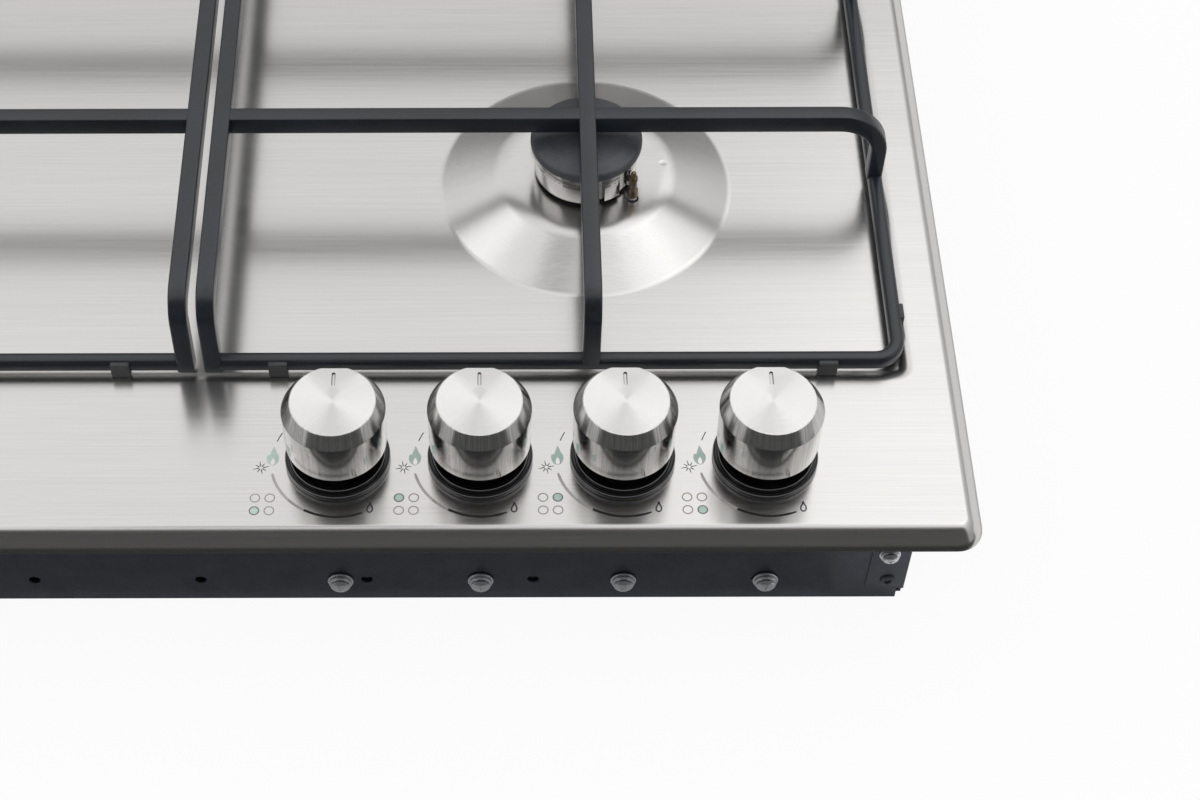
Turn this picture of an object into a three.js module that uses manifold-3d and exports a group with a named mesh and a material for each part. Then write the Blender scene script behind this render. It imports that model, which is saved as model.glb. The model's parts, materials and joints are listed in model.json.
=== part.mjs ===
import * as THREE from 'three';
import { mergeVertices } from 'three/addons/utils/BufferGeometryUtils.js';
import Module from 'manifold-3d';

// Built-in gas cooktop with four burners, in millimetres.
// X runs right along the front edge, Y runs back, Z runs up from the underside of the base pan.

const wasm = await Module();
wasm.setup();

// ---------------------------------------------------------------- clearances
const seatGap = 0.3;            // between pieces that rest on each other
const runGap = 0.35;            // round a shaft or pin that moves in a bore
const holeGap = 0.8;            // round a piece that passes through sheet metal
const grateGap = 3.6;           // between the two grates, over the centre line
const overcut = 1;              // how far a cutting shape reaches past the face it cuts
const weld = 1;                 // how far joined shapes reach into each other
const fineWeld = 0.5;

// ------------------------------------------------- facets round a full circle
const wideFacets = 20;          // burners, knobs and bezels
const hiddenFacets = 12;        // round pieces under the plate
const fineFacets = 8;           // pins, screws and small holes
const nutFacets = 6;
const manifoldHalfSides = 5;    // facets round half a bent bar, and its steps along the path
const manifoldSteps = 18;
const pipeHalfSides = 3;
const pipeSteps = 20;

// ----------------------------------------------------------------- top plate
const plateWidth = 580;
const plateDepth = 510;
const sheetThickness = 1;
const plateCornerRadius = 10;
const rimHeight = 8;            // worktop to the flat of the plate
const rimSlope = 5;             // how far the rim leans in as it rises
const rimSoftness = 1.8;        // rounding where the rim turns into the flat
const rimProfile = [            // inset past the slope and drop below the flat, in rimSoftness
  [-0.6, 1], [0.5, 0.3], [1.6, 0],
];
const panDrop = 52.5;           // worktop down to the underside of the pan

// ------------------------------------------- recessed well under the grates
const wellSideMargin = 18;      // plate edge to the well, left and right
const wellFrontMargin = 72;     // front edge of the plate to the well
const wellRearMargin = 22;
const wellDrop = 1.5;
const wellSlope = 3.4;
const wellCornerRadius = 8;

// ------------------------------------------------------------------- burners
const burnerSpread = 148.5;     // centre line to each burner's axis
const burnerPitch = 212;        // front burner to rear burner
const embossRadius = 58.4;
const embossTopRadius = 34.5;
const embossHeight = 9.2;
const burnerHoleRadius = 17.5;
const crownRadius = 20.5;
const crownHeight = 14.5;
const crownPortCount = 12;
const crownPortWidth = 2;
const crownPortDepth = 2.6;
const crownSkirtDepth = 10;     // how far the crown reaches down through the plate
const crownBoreRadius = 9;
const crownWall = 3;
const crownFloorDrop = 5;       // rim of the crown down to its floor
const crownChamferHeight = 1;
const crownChamferWidth = 0.6;
const capRadius = 21.9;
const capUndercut = 0.5;        // lip's lower edge stands this far inside its widest line
const capShoulderInset = 1.5;
const capShoulderRise = 0.6;
const capLipHeight = 2.6;
const capDomeHeight = 3;
const capSpigotRadius = 12;
const capSpigotDepth = 1.2;
const cupRadius = 20.4;
const cupDepth = 32;
const cupFloor = 2;
const cupFlangeRadius = 31;
const cupFlangeThickness = 2;
const injectorRadius = 3;
const injectorTipRadius = 1.8;
const injectorHeight = 7;
const probeRadius = 25.6;       // burner's axis to its electrode and its thermocouple
const thermocoupleAngle = -41;  // degrees round the burner from +X
const electrodeAngle = 139;
const thermocoupleRadius = 2.2;
const electrodeRadius = 3.2;
const probeRise = 15.5;         // tip above the burner's emboss
const probeDrop = 16;           // lower end below the sheet
const probeCollar = 1.6;        // collar radius added, under the cup's flange
const probeCollarHeight = 4;
const thermocoupleTip = 2.5;    // length of the thin upper end
const electrodeTip = 7;
const probeTipRadius = 0.9;
const probeTipFoot = 1;         // radius where the thin end leaves the body
const probeTipTaper = 0.8;
const crownNotches = [          // angle, width and depth of the notches down the crown's side
  [thermocoupleAngle, 6, 1.6], [electrodeAngle, 8, 1.6], [-73.5, 2.4, 0.9],
];

// -------------------------------------------------------------------- grates
const grateMargin = 4;          // well edge to the outside of the frame
const frameWidth = 5.5;
const frameHeight = 7.5;
const frameCornerRadius = 12;
const frameEdge = 1.1;          // rounding of the frame bar
const barWidth = 6.5;
const barHeight = 7.5;
const barEdge = 0.8;
const barTopHeight = 41.9;      // top of the bars above the well
const longBendRadius = 12;
const sideBendRadius = 20;
const legThickness = 6.2;
const footLength = 7;           // along the bar
const footWrap = 0.8;           // thickness on each side of the bar
const footUnder = 3;            // thickness below the bar
const footRise = 5.2;           // how far it reaches up the bar
const frontFootOffset = 103.3;  // grate's middle to its front and rear feet
const sideFootOffset = 179;     // grate's middle to its side feet

// --------------------------------------------------------------------- knobs
const knobCount = 4;
const knobSideMargin = 78.2;    // right edge of the plate to the last knob's axis
const knobPitch = 52.6;
const knobFrontMargin = 36.6;   // front edge of the plate to the knobs' axes
const knobFootRadius = 17.6;
const knobShoulderRadius = 18.9;
const knobFaceRadius = 15.4;
const knobLift = 10.3;          // plate to the knob's lower edge
const knobBodyHeight = 19.9;
const knobBevelHeight = 5;
const knobFlat = 14;            // axis to the flat at the back of the knob
const knobWall = 1.8;
const knobRoof = 2.6;
const knobHollowTaper = 1;      // hollow's draft beyond the wall
const knobHollowDrop = 2;
const knobHubRadius = 6.5;
const knobHubLift = 0.8;        // knob's lower edge to its hub
const pointerLength = 5.8;
const pointerWidth = 1;
const pointerDepth = 0.6;
const pointerInset = 1.3;       // flat edge to the pointer
const bezelRadius = 19.75;
const bezelFlange = 2;
const bezelRingRadius = 17.2;
const bezelHeight = 5;
const bezelEdge = 0.4;
const bezelDraft = 0.3;
const spindleRadius = 4;
const spindleChamfer = 0.6;
const spindleFlat = 2.8;        // axis to the flat of the spindle's D end
const spindleGrip = 17;         // length of the spindle inside the knob
const spindleHoleRadius = 6;
const pushTravel = 3;

// -------------------------------------------------------------------- valves
const valveWidth = 22;
const valveFront = 17;          // valve axis to the front of its body
const valveBack = 15;
const valveHeight = 22;
const valveNeckRadius = 8;
const valveNeckHeight = 7;
const outletRadius = 6;
const outletLength = 9;
const outletMargin = 2;         // top of the valve body to its outlet
const spindleSocket = 8;        // how far the spindle reaches into the valve body
const magnetRadius = 4.5;
const magnetFloor = 3;          // below the pin's lowest place
const pinRadius = 2;
const pinLength = 16;

// ------------------------------------------------------------------ base pan
const panSideMargin = 22;       // plate edge to the pan's side wall
const panFrontMargin = 14;
const panRearMargin = 44;
const panFlange = 8;            // lip folded in at the top of the walls
const panTabWidth = 15.3;       // side wall's tab folded over the front wall
const panScrewDrop = 39.4;      // worktop to the screws in the front wall
const panScrewRadius = 2;
const washerRadius = 5;
const washerThickness = 0.8;
const screwHeadRadius = 3.9;
const screwHeadHeight = 2.4;
const screwCrownRadius = 2.34;  // top of the head
const screwEndGap = 1;          // screw's end to the floor of its hole
const recessLength = 4;
const recessWidth = 0.9;
const recessDepth = 1.8;
const plainHoleRadius = 2.15;
const plainHolePitch = 63.2;
const plainHoleCount = 5;
const cornerReliefWidth = 2.5;
const cornerReliefHeight = 6;
const ventLength = 40;
const ventWidth = 5;
const ventPitch = 16;
const ventCount = 3;

// ------------------------------------------------------------- gas supply
const manifoldRadius = 8;
const manifoldBore = 6.5;
const manifoldBend = 24;
const manifoldEndReach = 20;    // first valve's axis to the closed end
const manifoldSideGap = 6;      // pan wall to the manifold's side run
const bossHalfWidth = 5;
const bossDepth = 7;            // blind hole for the front screws
const nippleRadius = 10.48;     // G 1/2 thread
const nippleLength = 20;        // beyond the pan's rear wall
const nippleRoot = 6;           // inside the pan's rear wall
const nippleBore = 7.5;
const nippleBoreDepth = 16;
const manifoldBoreDepth = 90;   // from the nipple's mouth
const pipeRadius = 4;
const pipeBend = 12;
const pipeLead = 16;            // valve's outlet to the first pipe's turn
const pipeLane = 16;            // between pipes that run side by side
const pipeSocket = 5;           // how far a pipe enters its sockets
const socketRadius = 6.5;
const socketLength = 9;
const socketRoot = 1.5;         // how far the socket reaches into the cup's wall

// ------------------------------------------------------ electrical pieces
const ignitionLength = 70;
const ignitionWidth = 34;
const ignitionHeight = 21;
const ignitionSideGap = 43;     // pan's side wall to the unit
const ignitionFrontGap = 19;    // pan's front wall to the unit
const postRadius = 3;
const postHeight = 6;
const terminalLength = 46;
const terminalWidth = 26;
const terminalHeight = 22;
const terminalSideGap = 55;     // pan's side wall to the terminal
const terminalBackWall = 4;
const lidOverhang = 2;
const lidSkirt = 2;
const lidThickness = 1;
const cableHoleRadius = 5;
const wireWayRadius = 4.5;

// -------------------------------------------------- worktop seal and clamps
const sealWidth = 3;
const sealInset = 8;            // plate edge to the seal
const sealProud = 0.5;          // seal's squeeze below the rim
const clampCount = 2;           // on each side
const clampPitch = 260;
const clampArmLength = 34;
const clampArmWidth = 10;
const clampArmNeck = 9;         // width of the arm beyond its round end
const clampArmThickness = 2.5;
const clampScrewRadius = 2;
const clampHeadRadius = 4;
const clampHeadHeight = 3;
const clampNutHeight = 3;
const clampScrewEnd = 2;        // screw's end below the arm
const clampTipLength = 3;       // turned-up end that bears on the worktop
const clampTipHeight = 2;
const clampDrop = 36;           // worktop to the underside of the arm's grip
const earRise = 13;             // clamp arm to the ear that carries its screw
const earThickness = 1.5;
const earDepth = 14;

// ------------------------------------------------------------ worked-out places
const worktopLevel = panDrop;
const plateLevel = worktopLevel + rimHeight;
const sheetUnder = plateLevel - sheetThickness;
const wellLevel = plateLevel - wellDrop;
const embossLevel = wellLevel + embossHeight;
const frontEdge = -plateDepth / 2;
const wellFront = frontEdge + wellFrontMargin;
const wellRear = -frontEdge - wellRearMargin;
const wellMiddle = (wellFront + wellRear) / 2;
const wellLength = wellRear - wellFront;
const wellWidth = plateWidth - 2 * wellSideMargin;
const knobRow = frontEdge + knobFrontMargin;
const knobX = (index) => plateWidth / 2 - knobSideMargin - (knobCount - 1 - index) * knobPitch;
const panHalfWidth = plateWidth / 2 - panSideMargin;
const panFront = frontEdge + panFrontMargin;
const panRear = -frontEdge - panRearMargin;
const panTop = wellLevel - sheetThickness - seatGap;
const screwLevel = worktopLevel - panScrewDrop;
const manifoldRow = panFront + sheetThickness + seatGap + manifoldRadius;
const manifoldSideX = panHalfWidth - sheetThickness - manifoldSideGap - manifoldRadius;
const valveBase = screwLevel + manifoldRadius + seatGap;
const valveTop = valveBase + valveHeight;
const outletLevel = valveTop - outletRadius - outletMargin;
const cupTop = embossLevel - sheetThickness - seatGap;
const cupBase = cupTop - cupDepth;
const socketLevel = cupBase + socketRadius;

// ------------------------------------------------------------------- finishes
const finishes = {
  stainless: { color: 0xc9c8c6, roughness: 0.32, metalness: 1 },
  turnedSteel: { color: 0xd2d2d1, roughness: 0.22, metalness: 1 },
  galvanised: { color: 0x5c6068, roughness: 0.5, metalness: 0.9 },
  blackEnamel: { color: 0x2b2e31, roughness: 0.5, metalness: 0 },
  capEnamel: { color: 0x26282a, roughness: 0.55, metalness: 0 },
  aluminium: { color: 0xbfc0c1, roughness: 0.35, metalness: 1 },
  brass: { color: 0xb8985a, roughness: 0.35, metalness: 1 },
  zincScrew: { color: 0xc4c6c8, roughness: 0.3, metalness: 1 },
  blackPlastic: { color: 0x141415, roughness: 0.4, metalness: 0 },
  whiteCeramic: { color: 0xe4e2dc, roughness: 0.4, metalness: 0 },
  greyFoam: { color: 0x55575a, roughness: 0.95, metalness: 0 },
};

const cooktop = new THREE.Group();

// -------------------------------------------------------------- solid helpers
function solid(geometry) {
  const bare = geometry.clone();
  bare.deleteAttribute('normal');
  bare.deleteAttribute('uv');
  const merged = mergeVertices(bare, 1e-4);
  return new wasm.Manifold(new wasm.Mesh({
    numProp: 3,
    vertProperties: merged.attributes.position.array,
    triVerts: new Uint32Array(merged.index.array),
  }));
}

function geometryOf(manifold) {
  const mesh = manifold.getMesh();
  const geometry = new THREE.BufferGeometry();
  geometry.setAttribute('position', new THREE.BufferAttribute(mesh.vertProperties.slice(), 3));
  geometry.setIndex(new THREE.BufferAttribute(mesh.triVerts.slice(), 1));
  geometry.computeVertexNormals();
  return geometry;
}

function joined(first, ...others) {
  return others.reduce((whole, piece) => whole.add(piece), first);
}

function cut(whole, ...tools) {
  return tools.reduce((left, tool) => left.subtract(tool), whole);
}

function addPiece(name, shape, finish, place = [0, 0, 0], turn = 0, parent = cooktop) {
  const geometry = shape.isBufferGeometry ? shape : geometryOf(shape);
  const mesh = new THREE.Mesh(geometry, new THREE.MeshStandardMaterial(finishes[finish]));
  mesh.name = name;
  mesh.position.set(...place);
  mesh.rotation.z = turn;
  parent.add(mesh);
  return mesh;
}

// A box given by its lowest and highest corners.
function block(low, high) {
  const size = high.map((value, axis) => value - low[axis]);
  const middle = high.map((value, axis) => (value + low[axis]) / 2);
  return solid(new THREE.BoxGeometry(...size).translate(...middle));
}

// A turned solid about Z. The profile is a list of [radius, height] from the lower axis to the upper axis.
function turned(profile, facets = wideFacets) {
  const points = profile.map(([radius, height]) => new THREE.Vector2(radius, height));
  return solid(new THREE.LatheGeometry(points, facets).rotateX(Math.PI / 2));
}

function rod(radius, low, high, facets = hiddenFacets) {
  return turned([[0, low], [radius, low], [radius, high], [0, high]], facets);
}

// A round bar from one point to another along Y.
function rodAlongY(radius, x, z, yStart, yEnd, facets = fineFacets) {
  const length = yEnd - yStart;
  const bar = new THREE.CylinderGeometry(radius, radius, length, facets);
  return solid(bar.translate(x, (yStart + yEnd) / 2, z));
}

function rodAlongX(radius, y, z, xStart, xEnd, facets = fineFacets) {
  const length = xEnd - xStart;
  const bar = new THREE.CylinderGeometry(radius, radius, length, facets).rotateZ(Math.PI / 2);
  return solid(bar.translate((xStart + xEnd) / 2, y, z));
}

// A faceted hole whose flats lie at the stated radius, so that a rod of that radius clears it.
function clearRadius(radius, facets) {
  return radius / Math.cos(Math.PI / facets);
}

function bore(radius, low, high, facets = hiddenFacets) {
  return rod(clearRadius(radius, facets), low, high, facets);
}

function boreAlongY(radius, x, z, yStart, yEnd, facets = fineFacets) {
  return rodAlongY(clearRadius(radius, facets), x, z, yStart, yEnd, facets);
}

function boreAlongX(radius, y, z, xStart, xEnd, facets = fineFacets) {
  return rodAlongX(clearRadius(radius, facets), y, z, xStart, xEnd, facets);
}

function roundedRectangle(width, depth, radius) {
  const shape = new THREE.Shape();
  const halfWidth = width / 2;
  const halfDepth = depth / 2;
  shape.moveTo(-halfWidth + radius, -halfDepth);
  shape.lineTo(halfWidth - radius, -halfDepth);
  shape.absarc(halfWidth - radius, -halfDepth + radius, radius, -Math.PI / 2, 0);
  shape.lineTo(halfWidth, halfDepth - radius);
  shape.absarc(halfWidth - radius, halfDepth - radius, radius, 0, Math.PI / 2);
  shape.lineTo(-halfWidth + radius, halfDepth);
  shape.absarc(-halfWidth + radius, halfDepth - radius, radius, Math.PI / 2, Math.PI);
  shape.lineTo(-halfWidth, -halfDepth + radius);
  shape.absarc(-halfWidth + radius, -halfDepth + radius, radius, Math.PI, Math.PI * 1.5);
  return shape;
}

// A solid through level rings of one rounded rectangle, each ring grown or shrunk and set at its height.
function stackedRings(width, depth, radius, rings, middleY = 0, arcSteps = 2) {
  const levels = rings.map(([inset, height]) => {
    const shape = roundedRectangle(width - 2 * inset, depth - 2 * inset, Math.max(radius - inset, 0.5));
    const outline = shape.getPoints(arcSteps);
    const closed = outline[0].distanceTo(outline[outline.length - 1]) < 1e-6;
    return { outline: closed ? outline.slice(0, -1) : outline, height };
  });
  const count = levels[0].outline.length;
  const positions = [];
  const corner = (level, index) => {
    const point = levels[level].outline[index % count];
    return [point.x, point.y + middleY, levels[level].height];
  };
  const top = levels.length - 1;
  for (let index = 0; index < count; index += 1) {
    for (let level = 0; level < top; level += 1) {
      positions.push(...corner(level, index), ...corner(level, index + 1), ...corner(level + 1, index));
      positions.push(...corner(level, index + 1), ...corner(level + 1, index + 1), ...corner(level + 1, index));
    }
    positions.push(0, middleY, levels[0].height, ...corner(0, index + 1), ...corner(0, index));
    positions.push(0, middleY, levels[top].height, ...corner(top, index), ...corner(top, index + 1));
  }
  const geometry = new THREE.BufferGeometry();
  geometry.setAttribute('position', new THREE.Float32BufferAttribute(positions, 3));
  return solid(geometry);
}

// A flat outline made into a plate of the given thickness, with rounded edges.
function thickened(shape, thickness, edge, arcSteps = 2) {
  return new THREE.ExtrudeGeometry(shape, {
    depth: thickness - 2 * edge,
    bevelEnabled: true,
    bevelSize: edge,
    bevelOffset: -edge,
    bevelThickness: edge,
    bevelSegments: 1,
    curveSegments: arcSteps,
  }).translate(0, 0, edge);
}

// A round bar along a path of straight runs with rounded corners.
function bentBar(points, radius, bend, steps, halfSides = 4) {
  const corners = points.map((point) => new THREE.Vector3(...point));
  const path = new THREE.CurvePath();
  let from = corners[0];
  for (let index = 1; index < corners.length - 1; index += 1) {
    const here = corners[index];
    const before = here.clone().sub(from).normalize();
    const after = corners[index + 1].clone().sub(here).normalize();
    const start = here.clone().addScaledVector(before, -bend);
    const end = here.clone().addScaledVector(after, bend);
    path.add(new THREE.LineCurve3(from, start));
    path.add(new THREE.QuadraticBezierCurve3(start, here, end));
    from = end;
  }
  path.add(new THREE.LineCurve3(from, corners[corners.length - 1]));
  const section = new THREE.Shape();
  section.absarc(0, 0, radius, 0, Math.PI * 2);
  return new THREE.ExtrudeGeometry(section, { steps, extrudePath: path, curveSegments: halfSides });
}

// ------------------------------------------------------------------ burner places
const burners = [
  { name: 'front_left', x: -burnerSpread, y: wellMiddle - burnerPitch / 2 },
  { name: 'rear_left', x: -burnerSpread, y: wellMiddle + burnerPitch / 2 },
  { name: 'rear_right', x: burnerSpread, y: wellMiddle + burnerPitch / 2 },
  { name: 'front_right', x: burnerSpread, y: wellMiddle - burnerPitch / 2 },
];

function aroundBurner(burner, angle) {
  const turn = THREE.MathUtils.degToRad(angle);
  return [burner.x + probeRadius * Math.cos(turn), burner.y + probeRadius * Math.sin(turn)];
}

// ---------------------------------------------------------------------- top plate
// Everything below the pressed sheet's surface, lowered by the given amount.
function underSheet(lowered) {
  const rim = stackedRings(plateWidth, plateDepth, plateCornerRadius, [
    [lowered, worktopLevel - lowered],
    ...rimProfile.map(([inset, drop]) => [
      lowered + rimSlope + rimSoftness * inset, plateLevel - rimSoftness * drop - lowered,
    ]),
  ]);
  const clearAbove = embossHeight + rimHeight;
  const well = stackedRings(wellWidth, wellLength, wellCornerRadius, [
    [wellSlope, wellLevel - lowered],
    [wellSlope * 0.5, wellLevel + wellDrop * 0.5 - lowered],
    [0, plateLevel - lowered],
    [0, plateLevel + clearAbove],
  ], wellMiddle);
  const emboss = turned([
    [0, wellLevel - sheetThickness - lowered],
    [embossRadius, wellLevel - sheetThickness - lowered],
    [embossRadius, wellLevel - lowered],
    [embossTopRadius, embossLevel - lowered],
    [0, embossLevel - lowered],
  ]);
  const hollowed = cut(rim, well);
  return burners.reduce((body, burner) => body.add(emboss.translate([burner.x, burner.y, 0])), hollowed);
}

function topPlate() {
  let plate = cut(underSheet(0), underSheet(sheetThickness));
  const low = worktopLevel;
  const high = embossLevel + overcut;
  for (const burner of burners) {
    const openings = [
      [burner.x, burner.y, burnerHoleRadius, wideFacets],
      [...aroundBurner(burner, thermocoupleAngle), thermocoupleRadius + holeGap, fineFacets],
      [...aroundBurner(burner, electrodeAngle), electrodeRadius + holeGap, fineFacets],
    ];
    for (const [x, y, radius, facets] of openings) {
      plate = cut(plate, bore(radius, low, high, facets).translate([x, y, 0]));
    }
  }
  for (let index = 0; index < knobCount; index += 1) {
    plate = cut(plate, bore(spindleHoleRadius, low, high).translate([knobX(index), knobRow, 0]));
  }
  return plate;
}
addPiece('top_plate', topPlate(), 'stainless');

// ---------------------------------------------------------------------- base pan
const clampX = panHalfWidth + seatGap + clampArmWidth / 2;
const clampY = (index) => wellMiddle + (index - (clampCount - 1) / 2) * clampPitch;
const earLevel = worktopLevel - clampDrop + earRise;
const terminalX = -panHalfWidth + terminalSideGap + terminalLength / 2;
const cableLevel = sheetThickness + terminalHeight / 2;

function basePan() {
  const wall = sheetThickness;
  let pan = cut(
    block([-panHalfWidth, panFront, 0], [panHalfWidth, panRear, panTop]),
    block([-panHalfWidth + wall, panFront + wall, wall], [panHalfWidth - wall, panRear - wall, panTop - wall]),
    block(
      [-panHalfWidth + panFlange, panFront + panFlange, wall],
      [panHalfWidth - panFlange, panRear - panFlange, panTop + overcut],
    ),
  );
  const throughFront = [panFront - overcut, panFront + wall + overcut];
  const throughRear = [panRear - wall - overcut, panRear + overcut];
  const holes = [];
  for (let index = 0; index < knobCount; index += 1) {
    holes.push(boreAlongY(panScrewRadius + runGap, knobX(index), screwLevel, ...throughFront));
  }
  for (let index = 0; index < plainHoleCount; index += 1) {
    const x = (index - (plainHoleCount - 1) / 2) * plainHolePitch;
    holes.push(boreAlongY(plainHoleRadius, x, screwLevel, ...throughFront));
  }
  for (const side of [-1, 1]) {
    const tabX = side * (panHalfWidth - panTabWidth / 2);
    holes.push(boreAlongY(plainHoleRadius, tabX, screwLevel, ...throughFront));
    const reliefOut = side * (panHalfWidth + overcut);
    const reliefIn = side * (panHalfWidth - cornerReliefWidth);
    holes.push(block(
      [Math.min(reliefOut, reliefIn), panFront - overcut, -overcut],
      [Math.max(reliefOut, reliefIn), panFront + cornerReliefWidth, cornerReliefHeight],
    ));
  }
  holes.push(boreAlongY(nippleRadius + holeGap, manifoldSideX, screwLevel, ...throughRear, hiddenFacets));
  holes.push(boreAlongY(cableHoleRadius, terminalX, cableLevel, ...throughRear));
  for (const burner of burners) {
    for (let index = 0; index < ventCount; index += 1) {
      const x = burner.x + (index - (ventCount - 1) / 2) * ventPitch;
      holes.push(block(
        [x - ventWidth / 2, burner.y - ventLength / 2, -overcut],
        [x + ventWidth / 2, burner.y + ventLength / 2, wall + overcut],
      ));
    }
  }
  pan = cut(pan, ...holes);
  for (const side of [-1, 1]) {
    for (let index = 0; index < clampCount; index += 1) {
      const inner = side * (panHalfWidth - wall / 2);
      const outer = side * (clampX + clampArmWidth / 2);
      const y = clampY(index);
      const ear = block(
        [Math.min(inner, outer), y - earDepth / 2, earLevel],
        [Math.max(inner, outer), y + earDepth / 2, earLevel + earThickness],
      );
      const earTop = earLevel + earThickness;
      const hole = bore(clampScrewRadius + runGap, earLevel - overcut, earTop + overcut, fineFacets);
      pan = pan.add(cut(ear, hole.translate([side * clampX, y, 0])));
    }
  }
  return pan;
}
addPiece('base_pan', basePan(), 'galvanised');

// ------------------------------------------------------------- pan's front screws
function panScrew() {
  const headBase = seatGap + washerThickness;
  const headTop = headBase + screwHeadHeight;
  const shankEnd = sheetThickness + seatGap + bossDepth - screwEndGap;
  const profile = [
    [0, -shankEnd], [panScrewRadius, -shankEnd], [panScrewRadius, seatGap],
    [washerRadius, seatGap], [washerRadius, headBase],
    [screwHeadRadius, headBase], [screwCrownRadius, headTop], [0, headTop],
  ];
  const recess = new THREE.BoxGeometry(recessWidth, recessLength, recessDepth).translate(0, 0, headTop);
  const crossed = new THREE.BoxGeometry(recessLength, recessWidth, recessDepth).translate(0, 0, headTop);
  const screw = cut(turned(profile, fineFacets), solid(recess), solid(crossed));
  return geometryOf(screw).rotateX(Math.PI / 2);
}
for (let index = 0; index < knobCount; index += 1) {
  addPiece(`pan_screw_${index + 1}`, panScrew(), 'zincScrew', [knobX(index), panFront, screwLevel]);
}

// ------------------------------------------------------------------ gas manifold
function gasManifold() {
  const rearEnd = panRear + nippleLength;
  const nippleStart = panRear - sheetThickness - nippleRoot;
  const route = [
    [knobX(0) - manifoldEndReach, manifoldRow, screwLevel],
    [manifoldSideX, manifoldRow, screwLevel],
    [manifoldSideX, nippleStart + 2 * weld, screwLevel],
  ];
  const pipeRun = bentBar(route, manifoldRadius, manifoldBend, manifoldSteps, manifoldHalfSides);
  const boreEnd = rearEnd - nippleBoreDepth;
  let manifold = joined(
    solid(pipeRun),
    rodAlongY(nippleRadius, manifoldSideX, screwLevel, nippleStart, rearEnd, hiddenFacets),
  );
  manifold = cut(
    manifold,
    boreAlongY(nippleBore, manifoldSideX, screwLevel, boreEnd, rearEnd + overcut, hiddenFacets),
    boreAlongY(manifoldBore, manifoldSideX, screwLevel, rearEnd - manifoldBoreDepth, boreEnd + overcut),
  );
  for (let index = 0; index < knobCount; index += 1) {
    const x = knobX(index);
    const bossStart = panFront + sheetThickness + seatGap;
    manifold = cut(
      manifold.add(block(
        [x - bossHalfWidth, bossStart, screwLevel - bossHalfWidth],
        [x + bossHalfWidth, bossStart + manifoldRadius, screwLevel + bossHalfWidth],
      )),
      boreAlongY(panScrewRadius + runGap, x, screwLevel, bossStart - overcut, bossStart + bossDepth),
    );
  }
  return manifold;
}
addPiece('gas_manifold', gasManifold(), 'aluminium');

// ------------------------------------------- valves, push pins, spindles and knobs
const bezelTop = plateLevel + seatGap + bezelHeight;
const knobFoot = plateLevel + knobLift;
const knobShoulder = knobFoot + knobBodyHeight;
const knobFace = knobShoulder + knobBevelHeight;
const spindleTop = knobFoot + spindleGrip;
const spindleFoot = valveTop - spindleSocket;
const pinTop = spindleFoot - seatGap;
const pinFoot = pinTop - pinLength;
const magnetFoot = pinFoot - pushTravel - magnetFloor;

function valveBody() {
  const half = valveWidth / 2;
  const outletBack = valveBack + outletLength;
  const body = joined(
    block([-half, -valveFront, valveBase], [half, valveBack, valveTop]),
    rod(valveNeckRadius, valveTop - weld, valveTop + valveNeckHeight),
    rod(magnetRadius, magnetFoot, valveBase + weld),
    rodAlongY(outletRadius, 0, outletLevel, valveBack - weld, outletBack),
  );
  return cut(
    body,
    bore(spindleRadius + runGap, spindleFoot - pushTravel - overcut, valveTop + valveNeckHeight + overcut),
    bore(pinRadius + runGap, pinFoot - pushTravel - overcut, spindleFoot, fineFacets),
    boreAlongY(pipeRadius + seatGap, 0, outletLevel, outletBack - pipeSocket - seatGap, outletBack + overcut),
  );
}

function spindle() {
  const shaft = turned([
    [0, spindleFoot], [spindleRadius, spindleFoot], [spindleRadius, spindleTop - spindleChamfer],
    [spindleRadius - spindleChamfer, spindleTop], [0, spindleTop],
  ], hiddenFacets);
  const reach = spindleRadius + overcut;
  return cut(shaft, block([-reach, spindleFlat, knobFoot], [reach, reach, spindleTop + overcut]));
}

function knob() {
  const skin = turned([
    [0, knobFoot], [knobFootRadius, knobFoot], [knobShoulderRadius, knobShoulder],
    [knobFaceRadius, knobFace], [0, knobFace],
  ]);
  const inside = knobWall + knobHollowTaper;
  const roof = knobFace - knobRoof;
  const hollow = turned([
    [0, knobFoot - overcut], [knobFootRadius - knobWall, knobFoot - overcut],
    [knobShoulderRadius - inside, knobShoulder - knobHollowDrop], [knobFaceRadius - inside, roof], [0, roof],
  ], hiddenFacets);
  const reach = knobShoulderRadius + overcut;
  const behind = (distance) => block(
    [-reach, distance, knobFoot - 2 * overcut], [reach, reach, knobFace + overcut],
  );
  const shell = cut(cut(skin, behind(knobFlat)), cut(hollow, behind(knobFlat - knobWall)));
  const hub = rod(knobHubRadius, knobFoot + knobHubLift, roof + fineWeld);
  const socket = cut(
    bore(spindleRadius + seatGap, knobFoot - overcut, spindleTop + seatGap),
    block(
      [-knobHubRadius, spindleFlat + seatGap, knobFoot],
      [knobHubRadius, knobHubRadius, spindleTop + overcut],
    ),
  );
  const pointerEnd = knobFlat - pointerInset;
  const pointer = block(
    [-pointerWidth / 2, pointerEnd - pointerLength, knobFace - pointerDepth],
    [pointerWidth / 2, pointerEnd, knobFace + overcut],
  );
  return cut(shell.add(hub), socket, pointer);
}

function knobBezel() {
  const base = plateLevel + seatGap;
  const ring = turned([
    [0, base], [bezelRadius, base], [bezelRadius - bezelEdge, base + bezelFlange],
    [bezelRingRadius + bezelDraft, base + bezelFlange], [bezelRingRadius - bezelDraft, bezelTop], [0, bezelTop],
  ]);
  return cut(ring, bore(spindleHoleRadius, base - overcut, bezelTop + overcut));
}

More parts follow.
